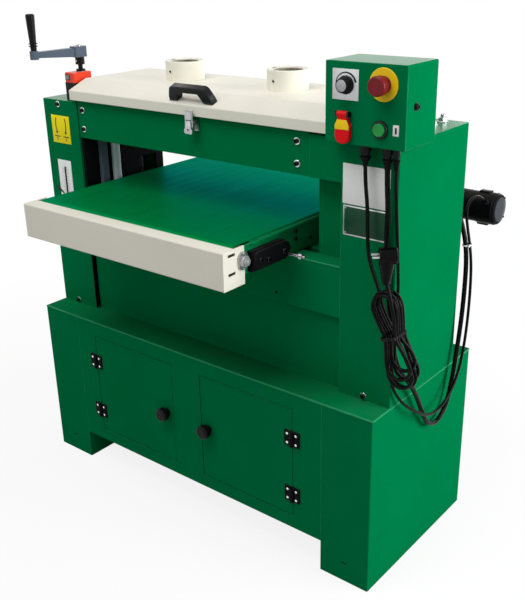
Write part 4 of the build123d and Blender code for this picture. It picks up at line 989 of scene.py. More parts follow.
@dataclass
class Bodywork:
    """The solids that keep their shape, with the finish of each and, in metres, where it changes."""

    drum_cloth: Flat = (-0.3535, 0.2715)
    door_sheet: float = -0.22775
    indicator_block: float = 1.0792
    coupling: Flat = (1.1045, 1.1412)
    bracket_x: Flat = (0.279, 0.3185)
    bracket_y: Flat = (-0.307, -0.179)
    needle: Flat = (-0.45, -0.155)
    rail_front: float = -0.075
    plug_head: Vector = vector_field(0.56864, -0.225, 0.83299)
    pin_way: Vector = vector_field(-0.78, -0.63, 0.0)
    pin_start: float = 0.0165
    ear_x: Flat = (0.424, 0.468)
    ear_back: float = -0.198
    ear_z: Flat = (1.085, 1.1005)
    slot_x: Flat = (-0.4905, -0.4815)
    slot_y: Flat = (-0.1569, -0.15)
    slot_z: Flat = (0.73, 0.86)
    plain: dict[Finish, tuple[str, ...]] = field(default_factory=lambda: {
        Finish.green_paint: (
            "left_leg", "right_leg", "base_front_panel", "base_back_panel", "base_top_plate",
            "right_column", "front_beam", "lower_front_panel", "rear_panel", "head_front_panel",
            "head_rear_panel", "control_box", "right_side_plate", "table_frame",
        ),
        Finish.cream_paint: ("top_cover", "dust_ports", "front_bar"),
        Finish.black_paint: ("left_side_plate", "hinge_leaves", "feed_motor"),
        Finish.cast_grey: ("bearing_blocks", "motor_pulley"),
        Finish.grey_paint: ("main_motor",),
        Finish.bright_steel: (
            "front_right_screw", "rear_left_screw", "rear_right_screw", "front_roller",
            "drive_roller", "latch_base", "latch_lever", "latch_bail", "cover_fittings",
            "lift_chain",
        ),
        Finish.black_plastic: ("left_door_knob", "right_door_knob", "crank_grip", "cable_glands"),
        Finish.black_rubber: ("drive_belts",),
        Finish.belt_green: ("feed_belt",),
        Finish.dark_red: ("estop_button",),
        Finish.red_plastic: ("paddle_switch",),
        Finish.green_plastic: ("start_button",),
    })

    def _on_bracket(self, spot: Vector) -> bool:
        """Tell the take-up bracket from the table's other fittings."""
        return within(spot.x, self.bracket_x) and within(spot.y, self.bracket_y)

    def _on_needle(self, spot: Vector) -> bool:
        """Tell the scale's needle from the table's other fittings."""
        return spot.x < self.needle[0] and spot.y < self.needle[1]

    def _on_pin(self, spot: Vector) -> bool:
        """Tell the plug's pins from its body."""
        return (spot - self.plug_head).dot(self.pin_way.normalized()) > self.pin_start

    def _on_ear(self, spot: Vector) -> bool:
        """Tell the paddle's hinge ears from the panel; their gloss black is painted shade beside the
        paddle's knuckle.
        """
        level = within(spot.z, self.ear_z)
        return level and within(spot.x, self.ear_x) and spot.y < self.ear_back

    def _in_slot_shade(self, spot: Vector) -> bool:
        """Tell the walls of the needle's slot from the column's sheet; their ink is painted shade
        inside the slot.
        """
        level = within(spot.z, self.slot_z)
        return level and within(spot.x, self.slot_x) and within(spot.y, self.slot_y)

    def _on_rail(self, spot: Vector) -> bool:
        """Tell the grey guide rail at the left from the guide posts."""
        return spot.x < 0.0 and spot.y < self.rail_front

    def mixed(self) -> dict[str, tuple[Finish, list[Rule]]]:
        """List the nodes of several finishes.

        Returns:
            For each node its ground finish, and the other finishes with what picks their faces.
        """
        cloth = (Finish.abrasive, lambda spot: within(spot.x, self.drum_cloth))
        trim = (Finish.black_paint, lambda spot: spot.y < self.door_sheet)
        block = (Finish.orange_plastic, lambda spot: spot.z > self.indicator_block)
        arm = (Finish.grey_paint, lambda spot: spot.z > self.coupling[1])
        sleeve = (Finish.black_plastic, lambda spot: within(spot.z, self.coupling))
        bracket = (Finish.black_paint, self._on_bracket)
        return {
            "left_door": (Finish.green_paint, [trim]),
            "right_door": (Finish.green_paint, [trim]),
            "front_drum": (Finish.bright_steel, [cloth]),
            "rear_drum": (Finish.bright_steel, [cloth]),
            "position_indicator": (Finish.black_plastic, [block]),
            "crank": (Finish.bright_steel, [arm, sleeve]),
            "table_fittings": (Finish.bright_steel, [bracket, (Finish.ink, self._on_needle)]),
            "mains_plug": (Finish.black_rubber, [(Finish.bright_steel, self._on_pin)]),
            # painted shade: gloss black on the hinge ears beside the paddle's knuckle
            "control_panel": (Finish.green_paint, [(Finish.gloss_black, self._on_ear)]),
            # painted shade: ink on the walls of the needle's slot
            "left_column": (Finish.green_paint, [(Finish.ink, self._in_slot_shade)]),
            # the guide posts' pale colour is painted reflection
            "guide_posts": (Finish.post_painted_reflection, [(Finish.grey_paint, self._on_rail)]),
        }

    def dress(self) -> None:
        """Give every node that stays its finish."""
        for finish, nodes in self.plain.items():
            for node in nodes:
                self._paint(node, finish, [])
        for node, (ground, rules) in self.mixed().items():
            self._paint(node, ground, rules)

    @staticmethod
    def _paint(node: str, ground: Finish, rules: Sequence[Rule]) -> None:
        """Set a node's finish, and others on the faces that their rules pick.

        Args:
            node: The node's name.
            ground: Its main finish.
            rules: Other finishes and the faces that take them.
        """
        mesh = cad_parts[node].data
        mesh.materials.clear()
        for finish in (ground, *(finish for finish, _ in rules)):
            mesh.materials.append(SHOP.get(finish))
        for polygon in mesh.polygons:
            polygon.material_index = 0
            for index, (_, picks) in enumerate(rules, 1):
                if picks(polygon.center):
                    polygon.material_index = index
        log.info("%s is finished in %s", node, ground.name)


@dataclass(frozen=True)
class HankTurn:
    """One loose turn of the mains lead's hank, in metres.

    Half widths at its top and its foot, how far the foot stands aside, the foot's drop and the
    top's rise.
    """

    top: float
    foot: float
    aside: float
    drop: float
    rise: float


@dataclass
class Leads:
    """The mains lead with its hank, the motor lead, the feed lead and what holds them."""

    hank_middle: Vector = vector_field(0.561457, -0.181, 0.714217)
    hank_across: Vector = vector_field(0.959444, 0.0, 0.281899)
    hank_forward: Vector = vector_field(0.0, -1.0, 0.0)
    hank_down: Vector = vector_field(0.281899, 0.0, -0.959444)
    hank_run: float = 0.1422
    hank_radius: float = 0.026
    hank_step: float = 0.0088
    tail: float = 0.055
    waist: float = 0.0125
    tie_level: float = 0.060
    slack_level: float = 0.036
    start_level: float = 0.006
    bend_start: float = 0.011
    bend_end: float = 0.010
    bend_flat: float = 0.42
    turns: tuple[HankTurn, ...] = (
        HankTurn(0.0265, 0.0275, -0.0020, -0.002, 0.000),
        HankTurn(0.0275, 0.0285, -0.0065, 0.009, 0.004),
        HankTurn(0.0266, 0.0270, 0.0068, -0.030, -0.001),
        HankTurn(0.0282, 0.0280, -0.0035, 0.004, 0.006),
        HankTurn(0.0265, 0.0272, 0.0030, -0.017, 0.002),
    )
    mains_route: tuple[Spot, ...] = (
        (0.484, -0.178, 1.010), (0.484, -0.178, 0.968), (0.493, -0.1795, 0.908),
        (0.495, -0.1805, 0.853), (0.499, -0.181, 0.800), (0.52749, -0.181, 0.73759),
    )
    motor_route: tuple[Spot, ...] = (
        (0.535, -0.178, 1.010), (0.535, -0.178, 0.968), (0.536, -0.171, 0.903),
        (0.532, -0.167, 0.840), (0.536, -0.169, 0.775), (0.545, -0.169, 0.710),
        (0.554, -0.1685, 0.645), (0.562, -0.168, 0.586), (0.569, -0.145, 0.540),
        (0.570, -0.101, 0.495), (0.568, -0.066, 0.446), (0.567, -0.038, 0.396),
        (0.566, -0.006, 0.353), (0.566, 0.029, 0.337), (0.566, 0.064, 0.345),
        (0.566, 0.090, 0.374), (0.566, 0.107, 0.424), (0.566, 0.119, 0.482),
        (0.566, 0.130, 0.542), (0.565, 0.139, 0.602), (0.563, 0.1455, 0.656),
        (0.560, 0.151, 0.706), (0.554, 0.154, 0.750), (0.543, 0.155, 0.790),
        (0.529, 0.155, 0.826), (0.518, 0.154, 0.860), (0.514, 0.153, 0.898),
        (0.514, 0.153, 0.930),
    )
    feed_route: tuple[Spot, ...] = (
        (0.5545, -0.178, 1.010), (0.5545, -0.178, 0.968), (0.5575, -0.174, 0.900),
        (0.559, -0.170, 0.842), (0.560, -0.164, 0.785), (0.560, -0.160, 0.730),
        (0.558, -0.157, 0.672), (0.5548, -0.1575, 0.612), (0.551, -0.166, 0.556),
        (0.555, -0.160, 0.508), (0.567, -0.132, 0.461), (0.578, -0.086, 0.424),
        (0.580, -0.040, 0.394), (0.580, 0.010, 0.385), (0.580, 0.054, 0.393),
        (0.580, 0.098, 0.427), (0.579, 0.123, 0.474), (0.578, 0.138, 0.530),
        (0.576, 0.148, 0.590), (0.573, 0.155, 0.650), (0.568, 0.1605, 0.705),
        (0.559, 0.164, 0.750), (0.548, 0.170, 0.784), (0.536, 0.184, 0.810),
        (0.529, 0.202, 0.828), (0.529, 0.221, 0.839), (0.534, 0.240, 0.842),
        (0.538, 0.25776, 0.83401), (0.538, 0.2729, 0.82428),
    )
    feed_radius: float = 3.5
    strap_outer: Spot = (17.7, 27.5, 5.8)
    strap_inner: Spot = (16.8, 26.6, 4.9)
    strap_middle: float = 22.0
    strap_levels: Flat = (57.0, 63.0)
    strap_buckle: Box = ((-4.5, 48.6, 56.0), (4.5, 52.0, 64.0))
    strap_end: Box = ((4.5, 49.4, 58.0), (13.0, 50.4, 62.0))
    rear_tie_at: Spot = (555.84, 158.06, 746.0)
    rear_tie_way: Vector = vector_field(0.457, 0.889, 0.0)
    rear_tie_outer: Spot = (12.2, 7.2, 7.1)
    rear_tie_inner: Spot = (11.2, 6.2, 6.1)
    rear_tie_width: float = 3.6
    rear_tie_head: Box = ((-4.0, -10.8, -0.8), (1.0, -6.5, 4.4))
    rib_pitch: float = 5.2
    rib_count: int = 4
    sleeve_end: float = 22.4

    def build(self) -> None:
        """Make the three leads and their fittings."""
        tie = self._hank_tie()
        self._sleeves()
        mains = self._curve("mains_cord", [*self.mains_route, *self._hank_points()], 0.004)
        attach(mains, "frame")
        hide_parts("mains_lead", "mains_hank")
        motor = self._curve("motor_cord", self.motor_route, 0.0055)
        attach(motor, "frame")
        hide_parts("motor_lead")
        self._feed_cord()
        self._rear_tie()

    def _hank_points(self) -> list[Spot]:
        """Lay out the control points of the hank's turns in its own axes.

        Returns:
            The points in the machine's frame, in metres.
        """
        local = []
        for layer, turn in enumerate(self.turns):
            local += self._turn_points(layer, turn)
            if layer + 1 < len(self.turns):
                local += self._over_top(layer + 1, turn, self.turns[layer + 1])
        local.append((self.hank_radius, -self.tail, len(self.turns)))
        return [tuple(self._in_hank(*place)) for place in local]

    def _turn_points(self, layer: int, turn: HankTurn) -> list[Spot]:
        """Lay out one turn: down the left, through the tie, round the foot and up the right.

        Args:
            layer: The turn's number from the back.
            turn: Its own widths, shift and drop.

        Returns:
            Side, level and layer of its control points.
        """
        foot = self.hank_run + turn.drop
        slack = (turn.top + self.waist) / 2
        left = turn.aside - turn.foot
        right = turn.aside + turn.foot
        flat = self.bend_flat * turn.foot
        between = (self.tie_level + foot) / 2
        return [
            (-turn.top, self.start_level, layer),
            (-slack, self.slack_level, layer),
            (-self.waist, self.tie_level, layer),
            ((left - self.waist) / 2, between, layer),
            (left, foot - self.bend_end, layer),
            (left, foot + self.bend_start, layer),
            (turn.aside - flat, foot + turn.foot, layer),
            (turn.aside + flat, foot + turn.foot, layer),
            (right, foot + self.bend_start, layer),
            (right, foot - self.bend_end, layer),
            ((self.waist + right) / 2, between, layer + 0.15),
            (self.waist, self.tie_level, layer + 0.45),
            (slack, self.slack_level, layer + 0.75),
            (turn.top, self.start_level, layer + 1),
        ]

    def _over_top(self, layer: int, turn: HankTurn, after: HankTurn) -> list[Spot]:
        """Lay out the bend over the top from one turn to the next.

        Args:
            layer: The layer it lies in.
            turn: The turn it comes from.
            after: The turn it goes to.

        Returns:
            Side, level and layer of its control points.
        """
        bend = (turn.top + after.top) / 2 + after.rise
        start = self.bend_start + after.rise
        return [
            (turn.top, -start, layer),
            (self.bend_flat * turn.top, -bend, layer),
            (-self.bend_flat * after.top, -bend, layer),
            (-after.top, -start, layer),
        ]

    def _in_hank(self, side: float, level: float, layer: float) -> Vector:
        """Turn a place in the hank's own axes into a point of the machine's frame, in metres."""
        ahead = self.hank_forward * (layer * self.hank_step)
        return self.hank_middle + self.hank_across * side + self.hank_down * level + ahead

    @staticmethod
    def _curve(name: str, points: Sequence[Spot], radius: float) -> bpy.types.Object:
        """Draw a smooth round cord.

        Args:
            name: The cord's name.
            points: Its control points, in metres.
            radius: Its radius in metres, or nothing for a bare line.

        Returns:
            The curve object.
        """
        curve = bpy.data.curves.new(name, "CURVE")
        curve.dimensions = "3D"
        spline = curve.splines.new("NURBS")
        spline.points.add(len(points) - 1)
        for point, place in zip(spline.points, points):
            point.co = (*place, 1.0)
        spline.order_u = 3
        spline.use_endpoint_u = True
        spline.resolution_u = 10
        curve.bevel_depth = radius
        curve.bevel_resolution = 5
        curve.use_fill_caps = radius > 0
        curve.materials.append(SHOP.get(Finish.black_rubber))
        log.info("%s has %d points", name, len(points))
        return show(bpy.data.objects.new(name, curve))

    def _feed_cord(self) -> None:
        """Make the feed lead as a tube laid between the frame and the table."""
        line = self._curve("feed_line", self.feed_route, 0.0)
        bpy.context.view_layer.update()
        trace = bpy.data.meshes.new_from_object(line)
        path = [vert.co.copy() for vert in trace.vertices]
        bpy.data.objects.remove(line)
        bpy.data.meshes.remove(trace)
        sides = 14
        section = [polar(self.feed_radius, 2 * math.pi * side / sides) for side in range(sides)]
        tube = Shape().swept([point / MM for point in path], section, Vector((1, 0, 0)))
        cord = make_piece(
            "feed_cord", tube, [Finish.black_rubber], "frame", ["feed_lead"], False
        )
        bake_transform(cord)

    def _hank_tie(self) -> bpy.types.Object:
        """Make the strap that holds the hank near its top.

        Returns:
            The strap.
        """
        stand = axes_at(
            self.hank_across, self.hank_forward, self.hank_down, self.hank_middle / MM
        )
        outer = shifted(rounded(*self.strap_outer), 0.0, self.strap_middle)
        inner = shifted(rounded(*self.strap_inner), 0.0, self.strap_middle)
        shape = Shape().prism(outer, *self.strap_levels, stand, hole=inner)
        shape.block(*self.strap_buckle, 1.0, stand=stand)
        shape.block(*self.strap_end, 0.4, stand=stand)
        return make_piece("hank_strap", shape, [Finish.black_plastic], "frame")

    def _rear_tie(self) -> None:
        """Make the pale tie that holds the two rear leads together."""
        way = self.rear_tie_way.normalized()
        stand = axes_at(way, UPWARD.cross(way), UPWARD, Vector(self.rear_tie_at))
        inner = rounded(*self.rear_tie_inner)
        shape = Shape()
        shape.prism(rounded(*self.rear_tie_outer), 0.0, self.rear_tie_width, stand, hole=inner)
        shape.block(*self.rear_tie_head, 0.6, stand=stand)
        make_piece("lead_tie", shape, [Finish.white_plastic], "frame")

    def _sleeves(self) -> None:
        """Make the ribbed sleeves that the leads leave the control box through."""
        shape = Shape()
        for (x, y, z), lead, mouth in (
            (self.mains_route[0], 4.0, 11.5), (self.motor_route[0], 5.5, 11.0),
            (self.feed_route[0], self.feed_radius, 7.4),
        ):
            bore = lead + 0.3
            profile = [(bore, 0.0)]
            for rib in range(self.rib_count):
                share = rib / (self.rib_count - 1)
                outer = mouth + (lead + 1.4 - mouth) * share * (2 - share)
                level = 1.0 + self.rib_pitch * rib
                profile += [(outer, level), (outer, level + 3.2), (outer - 0.8, level + 3.6)]
                profile.append((outer - 0.8, level + 4.8))
            profile.append((bore, self.sleeve_end))
            shape.ring(profile, Facing.DOWN.stand((x / MM, y / MM, z / MM + 1.5)), 28)
        make_piece("lead_sleeves", shape, [Finish.black_rubber], "frame")


@dataclass
class ControlStation:
    """The emergency stop, the dial, the start button and the paddle on the control box."""

    face_y: float = -197.0
    estop: Flat = (532.0, 1154.0)
    estop_front: float = -228.0
    dial: Flat = (448.0, 1148.0)
    dial_plate: Sheet = ((417.0, 1119.0), (477.0, 1178.0))
    dial_thick: float = 0.8
    crescent: float = 23.2
    start: Flat = (527.0, 1070.0)
    start_front: float = -206.0
    paddle: Flat = (446.0, 1067.0)
    paddle_fronts: Flat = (205.0, 208.6)
    mark_plate: Sheet = ((555.0, 1061.0), (568.0, 1082.0))
    mark_bar: Sheet = ((559.4, 1065.0), (563.6, 1077.0))

    def _on(self, at: Flat, y: float | None = None) -> Matrix:
        """Stand on the panel's face, or at another depth, at a place."""
        return Facing.FRONT.stand((at[0], self.face_y if y is None else y, at[1]))

    def build(self) -> None:
        """Make the station's pieces."""
        self._estop_plate()
        self._dial_plate()
        self._speed_knob()
        self._start_ring()
        self._paddle_front()
        plate = Shape().plate(*self.mark_plate, self.face_y, 0.7, 0.25)
        plate.plate(*self.mark_bar, self.face_y - 0.5, 0.4, 0.15, 1)
        make_piece("mark_plate", plate, [Finish.white_plastic, Finish.ink], "frame")

    def _estop_plate(self) -> None:
        """Make the disc and the collar behind the emergency stop, and its cap's ring and arcs."""
        disc = [(10.6, 0), (31.5, 0), (31.5, 1.2), (30.7, 1.9), (10.6, 1.9)]
        collar = [(10.6, 1.9), (16.8, 1.9), (16.4, 5.2), (15.2, 6.4), (10.6, 6.4)]
        shape = Shape().ring(disc, self._on(self.estop), 64)
        shape.ring(collar, self._on(self.estop), 48, 1)
        make_piece("estop_disc", shape, [Finish.yellow_plastic, Finish.dark_red], "frame")
        stand = self._on(self.estop, self.estop_front)
        cap = Shape().ring([(13.6, 0.0), (16.2, 0.0), (16.2, 0.5), (13.6, 0.5)], stand, 48)
        for turn in range(3):
            begin = 2 * math.pi * turn / 3
            cap.stroke([polar(9.0, begin + 0.22 * step) for step in range(6)], 1.4, 0.0, 0.4, stand)
        make_piece("estop_ring", cap, [Finish.dark_red], "estop_button")

    def _dial_plate(self) -> None:
        """Make the silver plate behind the speed knob, with the crescent that shows more speed."""
        shape = Shape().plate(*self.dial_plate, self.face_y, self.dial_thick, 0.3)
        stand = self._on(self.dial, self.face_y - self.dial_thick)
        outer, inner = [], []
        steps = 32
        for step in range(steps + 1):
            share = step / steps
            angle = math.radians(214 - 200 * share)
            half = 0.25 + 2.0 * share
            outer.append(polar(self.crescent + half, angle))
            inner.append(polar(self.crescent - half, angle))
        shape.prism(inner + outer[::-1], 0.0, 0.2, stand, 1)
        make_piece("dial_plate", shape, [Finish.plate_silver, Finish.ink], "frame")

    def _speed_knob(self) -> None:
        """Make the fluted knob with its bright cap and pointer."""
        stand = self._on(self.dial)
        profile = [
            (0.0, 1.0), (18.0, 1.0), (18.0, 3.0), (17.0, 4.0), (16.3, 5.0, Ring.FLUTED),
            (14.9, 15.4, Ring.FLUTED), (13.6, 17.0, Ring.FLUTED), (12.6, 17.4), (0.0, 17.4),
        ]
        shape = Shape().turned(profile, stand, 72)
        cap = [(0.0, 17.2), (11.4, 17.2), (11.4, 17.6), (10.6, 18.0), (0.0, 18.0)]
        shape.turned(cap, stand, 48, 1)
        shape.stroke([(0.0, 13.0), (0.0, 17.6)], 1.5, 1.2, 4.2, stand, 2)
        finishes = [Finish.black_plastic, Finish.dial_cap, Finish.white_plastic]
        make_piece("dial_knob", shape, finishes, "speed_knob", ["speed_knob"])

    def _start_ring(self) -> None:
        """Make the black ring round the start button and the button's rim."""
        ring = [(12.9, 0), (17.6, 0), (17.6, 2.6), (16.4, 4.2), (14.4, 4.6), (12.9, 4.4)]
        shape = Shape().ring(ring, self._on(self.start), 48)
        make_piece("start_ring", shape, [Finish.gloss_black], "frame")
        dish = [(9.4, 0.0), (11.6, 0.0), (11.3, 0.5), (9.8, 0.5)]
        rim = Shape().ring(dish, self._on(self.start, self.start_front), 40)
        make_piece("start_rim", rim, [Finish.green_plastic], "start_button")

    def _paddle_front(self) -> None:
        """Make the yellow upper part of the stop paddle."""
        outline = mirrored([(16.4, -4.0), (16.4, 4.0), (10.4, 15.8)])
        shape = Shape()
        shape.prism(outline, *self.paddle_fronts, self._on(self.paddle, 0.0), edge=1.6, steps=4)
        make_piece("paddle_face", shape, [Finish.yellow_plastic], "paddle_switch")


@dataclass
class Columns:
    """The plates, the scale and the screws of the two columns and the head."""

    face_y: float = -157.0
    head_y: float = -153.0
    rear_y: float = 139.0
    cabinet_back: float = 227.5
    top_z: float = 1034.0
    plate_thick: float = 0.7
    plate_edge: float = 0.3
    ink_height: float = 0.2
    pale_plate: Sheet = ((418.0, 900.0), (531.0, 985.0))
    dark_plate: Sheet = ((420.0, 832.0), (530.0, 897.0))
    dark_field: Sheet = ((423.0, 835.0), (527.0, 894.0))
    dark_screws: Sheet = ((426.0, 838.0), (524.0, 891.0))
    arrow_plate: Sheet = ((-522.0, 919.0), (-449.0, 993.0))
    slot: Flat = (-489.6, -482.4)
    slot_ends: Flat = (734.4, 854.6)
    scale_sides: Flat = (-514.0, -460.0)
    scale_ends: Flat = (720.0, 873.0)

    def build(self) -> None:
        """Make the columns' pieces."""
        self._screws()
        self._bare_plates()
        self._arrow_plate()
        self._scale()
        self._rear_screws()
        self._adjusters()

    def _screws(self) -> None:
        """Make the socket screws with bright washers that hold the panels."""
        places = [(x, self.face_y, z) for x, z in ((-488, 1023), (-488, 465), (481, 465))]
        places += [(x, self.head_y, z) for x in (-395, 297) for z in (1014.5, 966)]
        stands = [(Facing.FRONT.stand(place), 1) for place in places]
        stands.append((Facing.RIGHT.stand((582.0, -162.0, 1113.0)), 0))
        shape = Shape()
        for stand, ring in stands:
            shape.washer(stand, 4.0, 8.0, 1.5, ring)
            shape.cap_screw(moved(stand, 0, 0, 1.5), 5.5, 5.0)
        finishes = [Finish.gloss_black, Finish.chrome]
        make_piece("panel_fixings", shape, finishes, "frame", ["panel_screws"])

    def _plate(self, sheet: Sheet, finish: int = 0) -> Shape:
        """Start a shape with a thin plate on a column's front."""
        return Shape().plate(*sheet, self.face_y, self.plate_thick, self.plate_edge, finish)

    def _bare_plates(self) -> None:
        """Make the two blank plates on the right column."""
        pale = self._plate(self.pale_plate)
        make_piece("pale_plate", pale, [Finish.plate_pale], "frame")
        dark = self._plate(self.dark_plate, 1)
        dark.plate(*self.dark_field, self.face_y - 0.5, 0.5, 0.2)
        (left, low), (right, high) = self.dark_screws
        for x in (left, right):
            for z in (low, high):
                dark.dome_screw(Facing.FRONT.stand((x, self.face_y - 1.0, z)), 1.6, 0.8, 1)
        make_piece("dark_plate", dark, [Finish.plate_dark, Finish.plate_silver], "frame")

    def _arrow_plate(self) -> None:
        """Make the yellow plate with two plain arrows for the ways that the crank turns."""
        shape = self._plate(self.arrow_plate)
        stand = Facing.FRONT.stand((-485.5, self.face_y - self.plate_thick, 956.0))
        raised = (0.0, self.ink_height, stand, 1)
        for centre, bow in ((-17.0, -3.0), (18.0, 3.0)):
            shares = [step / 8 for step in range(9)]
            shaft = [(centre + bow * 4 * s * (1 - s), 30.0 - 36.0 * s) for s in shares]
            tip = [(centre - 5.0, -6.0), (centre, -13.0), (centre + 5.0, -6.0)]
            shape.stroke(shaft, 3.4, *raised)
            shape.prism(tip, *raised)
            shape.stroke([(centre - 11.0, -19.0), (centre + 11.0, -19.0)], 2.6, *raised)
            shape.stroke([(centre, -22.0), (centre, -30.0)], 2.6, *raised)
        make_piece("arrow_plate", shape, [Finish.plate_yellow, Finish.ink], "frame")

    def _scale(self) -> None:
        """Make the scale round the needle's slot, with its ticks, and the wedge beside it."""
        left, right = self.scale_sides
        low, high = self.scale_ends
        shape = Shape()
        for corners in (
            ((left, low), (self.slot[0], high)), ((self.slot[1], low), (right, high)),
            ((self.slot[0], self.slot_ends[1]), (self.slot[1], high)),
            ((self.slot[0], low), (self.slot[1], self.slot_ends[0])),
        ):
            shape.plate(*corners, self.face_y, self.plate_thick, 0.12)
        stand = Facing.FRONT.stand((0.0, self.face_y - self.plate_thick, 0.0))
        for step in range(24):
            level = 738.0 + 5.0 * step
            reach = 8.0 if step % 2 == 0 else 5.0
            for edge, end in ((self.slot[0] - 1.0, -reach), (self.slot[1] + 1.0, reach)):
                tick = sorted([(edge, level), (edge + end, level)])
                shape.stroke(tick, 0.7, 0.0, 0.15, stand, 1)
        make_piece("height_scale", shape, [Finish.plate_pale, Finish.ink], "frame")
        outline = [(-529.0, 799.0), (-529.0, 790.0), (-501.0, 778.0), (-499.0, 781.0)]
        face = Facing.FRONT.stand((0.0, self.face_y, 0.0))
        wedge = Shape().prism(outline, self.plate_thick, 1.5, face)
        make_piece("scale_wedge", wedge, [Finish.ink], "frame")

    def _rear_screws(self) -> None:
        """Make the screws of the rear panels and of the cabinet's back."""
        shape = Shape()
        places = [(x, self.rear_y, z) for x in (-390, -41, 308) for z in (480, 620, 735)]
        places += [(x, self.cabinet_back, z) for x in (-380, 0, 380) for z in (120, 420)]
        for place in places:
            stand = Facing.BACK.stand(place)
            shape.washer(stand, 3.0, 6.4, 1.0, 1)
            shape.cap_screw(moved(stand, 0, 0, 1.0), 4.4, 3.2)
        make_piece("rear_fixings", shape, [Finish.gloss_black, Finish.chrome], "frame")

    def _adjusters(self) -> None:
        """Make the studs with nuts that set the drive belts, on top of the right column."""
        shape = Shape()
        for y in (60.0, 108.0):
            stand = Facing.UP.stand((500.0, y, self.top_z))
            shape.washer(stand, 5.5, 12.0, 2.2)
            shape.turned([(9.0, 2.2, Ring.HEX), (9.0, 9.6, Ring.HEX), (0, 9.6)], stand, 36)
            shape.turned([(5.2, 9.0), (5.2, 17.0), (4.2, 18.0), (0, 18.0)], stand, 24)
        make_piece("belt_adjusters", shape, [Finish.bright_steel], "frame")


@dataclass
class DustCover:
    """The handle, the ports' screws and rings with dark patches of painted shade, the latch's
    plates, the head's trim, and dark strips of painted shade in two seams.
    """

    slope: Vector = vector_field(0.0, -0.377, 0.926)
    handle_foot: Vector = vector_field(-2.0, -150.0, 1072.3)
    handle_half: float = 10.0
    ports: tuple[Flat, ...] = ((-181.5, 15.5), (146.5, 15.5))
    port_radius: float = 48.6
    port_screw_z: float = 1112.0
    port_ring_z: float = 1131.6
    shade_patch_side: float = 39.8
    latch_face: Spot = (5.0, -178.0, 1016.0)
    bail_face: Spot = (5.0, -176.6, 1042.8)
    edge_trim: Box = ((-412.0, -154.6, 1030.2), (329.0, -148.4, 1039.4))
    head_seam_shade: Box = ((330.2, -151.8, 942.6), (331.8, -148.5, 1030.6))
    panel_seam_shade: Box = ((-413.9, -155.6, 458.0), (-412.5, -142.2, 634.0))

    def build(self) -> None:
        """Make the cover's pieces."""
        self._handle()
        self._port_fittings()
        self._latch_plates()
        trim = Shape().block(*self.edge_trim, 1.4)
        make_piece("edge_trim", trim, [Finish.green_paint], "frame")
        # painted shade: dark strips in the head panel's right seam and over the column's inner side
        # beside the lower panel
        shade_strips = Shape().block(*self.head_seam_shade, 0.6).block(*self.panel_seam_shade, 0.5)
        make_piece("painted_seam_shade", shade_strips, [Finish.black_rubber], "frame")

    def _handle(self) -> None:
        """Make the bridge handle, with broad feet, sloping shoulders and a faceted grip."""
        out = self.slope.normalized()
        under = [(31.0, 26.0), (44.0, 2.0), (44.0, -0.4)]
        over = [(68.0, -0.4), (66.0, 12.0), (56.0, 33.0), (49.0, 38.0)]
        outline = mirrored(under + over)
        shape = Shape()
        for way in (1.0, -1.0):
            along = Vector((way, 0.0, 0.0))
            stand = axes_at(along, out, along.cross(out), self.handle_foot)
            shape.prism(outline, -0.01, self.handle_half, stand, edge=3.0, steps=1)
        make_piece(
            "bridge_handle", shape, [Finish.gloss_black], "cover", ["cover_handle"]
        )

    def _port_fittings(self) -> None:
        """Make the screws in the sides of the hose ports, and the ring in each bore with two dark
        patches of painted shade.
        """
        lip = [(36.0, 0.0), (43.1, 0.0), (43.1, 3.4), (36.6, 3.4), (36.0, 2.8)]
        screws, rings = Shape(), Shape()
        for x, y in self.ports:
            for turn in (-96.0, 84.0):
                way = Vector((*polar(1.0, math.radians(turn)), 0.0))
                at = Vector((x, y, self.port_screw_z)) + way * self.port_radius
                screws.dome_screw(axes_at(UPWARD.cross(way), UPWARD, way, at), 3.0, 1.8)
            stand = Facing.UP.stand((x, y, self.port_ring_z))
            rings.ring(lip, stand, 72)
            # painted shade: dark patches left and right in the bore, where its inner wall is in
            # shadow
            for side in (-self.shade_patch_side, self.shade_patch_side):
                rings.prism(shifted(rounded(2.6, 8.0, 2.5), side, 0.0), 3.3, 3.7, stand, 1)
        make_piece("port_screws", screws, [Finish.ink], "cover")
        finishes = [Finish.cream_paint, Finish.ink]
        make_piece("port_rings", rings, finishes, "cover")

    def _latch_plates(self) -> None:
        """Make the latch lever's face plate with its eye, the bail's plate and the base's rivets."""
        stand = Facing.FRONT.stand(self.latch_face)
        half = [(9.5, -15.0), (12.5, -12.0), (12.5, -4.4), (8.6, -2.8), (8.6, 12.6), (6.6, 15.0)]
        shape = Shape().prism(mirrored(half), 0.0, 1.4, stand, edge=0.5)
        eye = moved(stand, 0.0, -5.0, 1.4)
        shape.washer(eye, 2.6, 4.4, 0.6)
        shape.turned([(2.6, 0.0), (2.6, 0.2), (0.0, 0.2)], eye, 24, 1)
        finishes = [Finish.bright_steel, Finish.ink]
        make_piece("latch_face", shape, finishes, "latch_lever")
        bail = Facing.FRONT.stand(self.bail_face)
        hook = Shape().prism(rounded(9.5, 9.2, 2.0), 0.0, 1.0, bail)
        make_piece("bail_plate", hook, [Finish.bright_steel], "latch_bail")
        low, high = (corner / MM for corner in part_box("latch_base"))
        face = max(low.y, high.y - 4.0)
        rivets = Shape()
        for side in (-8.0, 8.0):
            at = Facing.FRONT.stand(((low.x + high.x) / 2 + side, face, low.z + 3.4))
            rivets.dome_screw(at, 1.7, 1.0)
        make_piece("latch_rivets", rivets, [Finish.bright_steel], "frame")


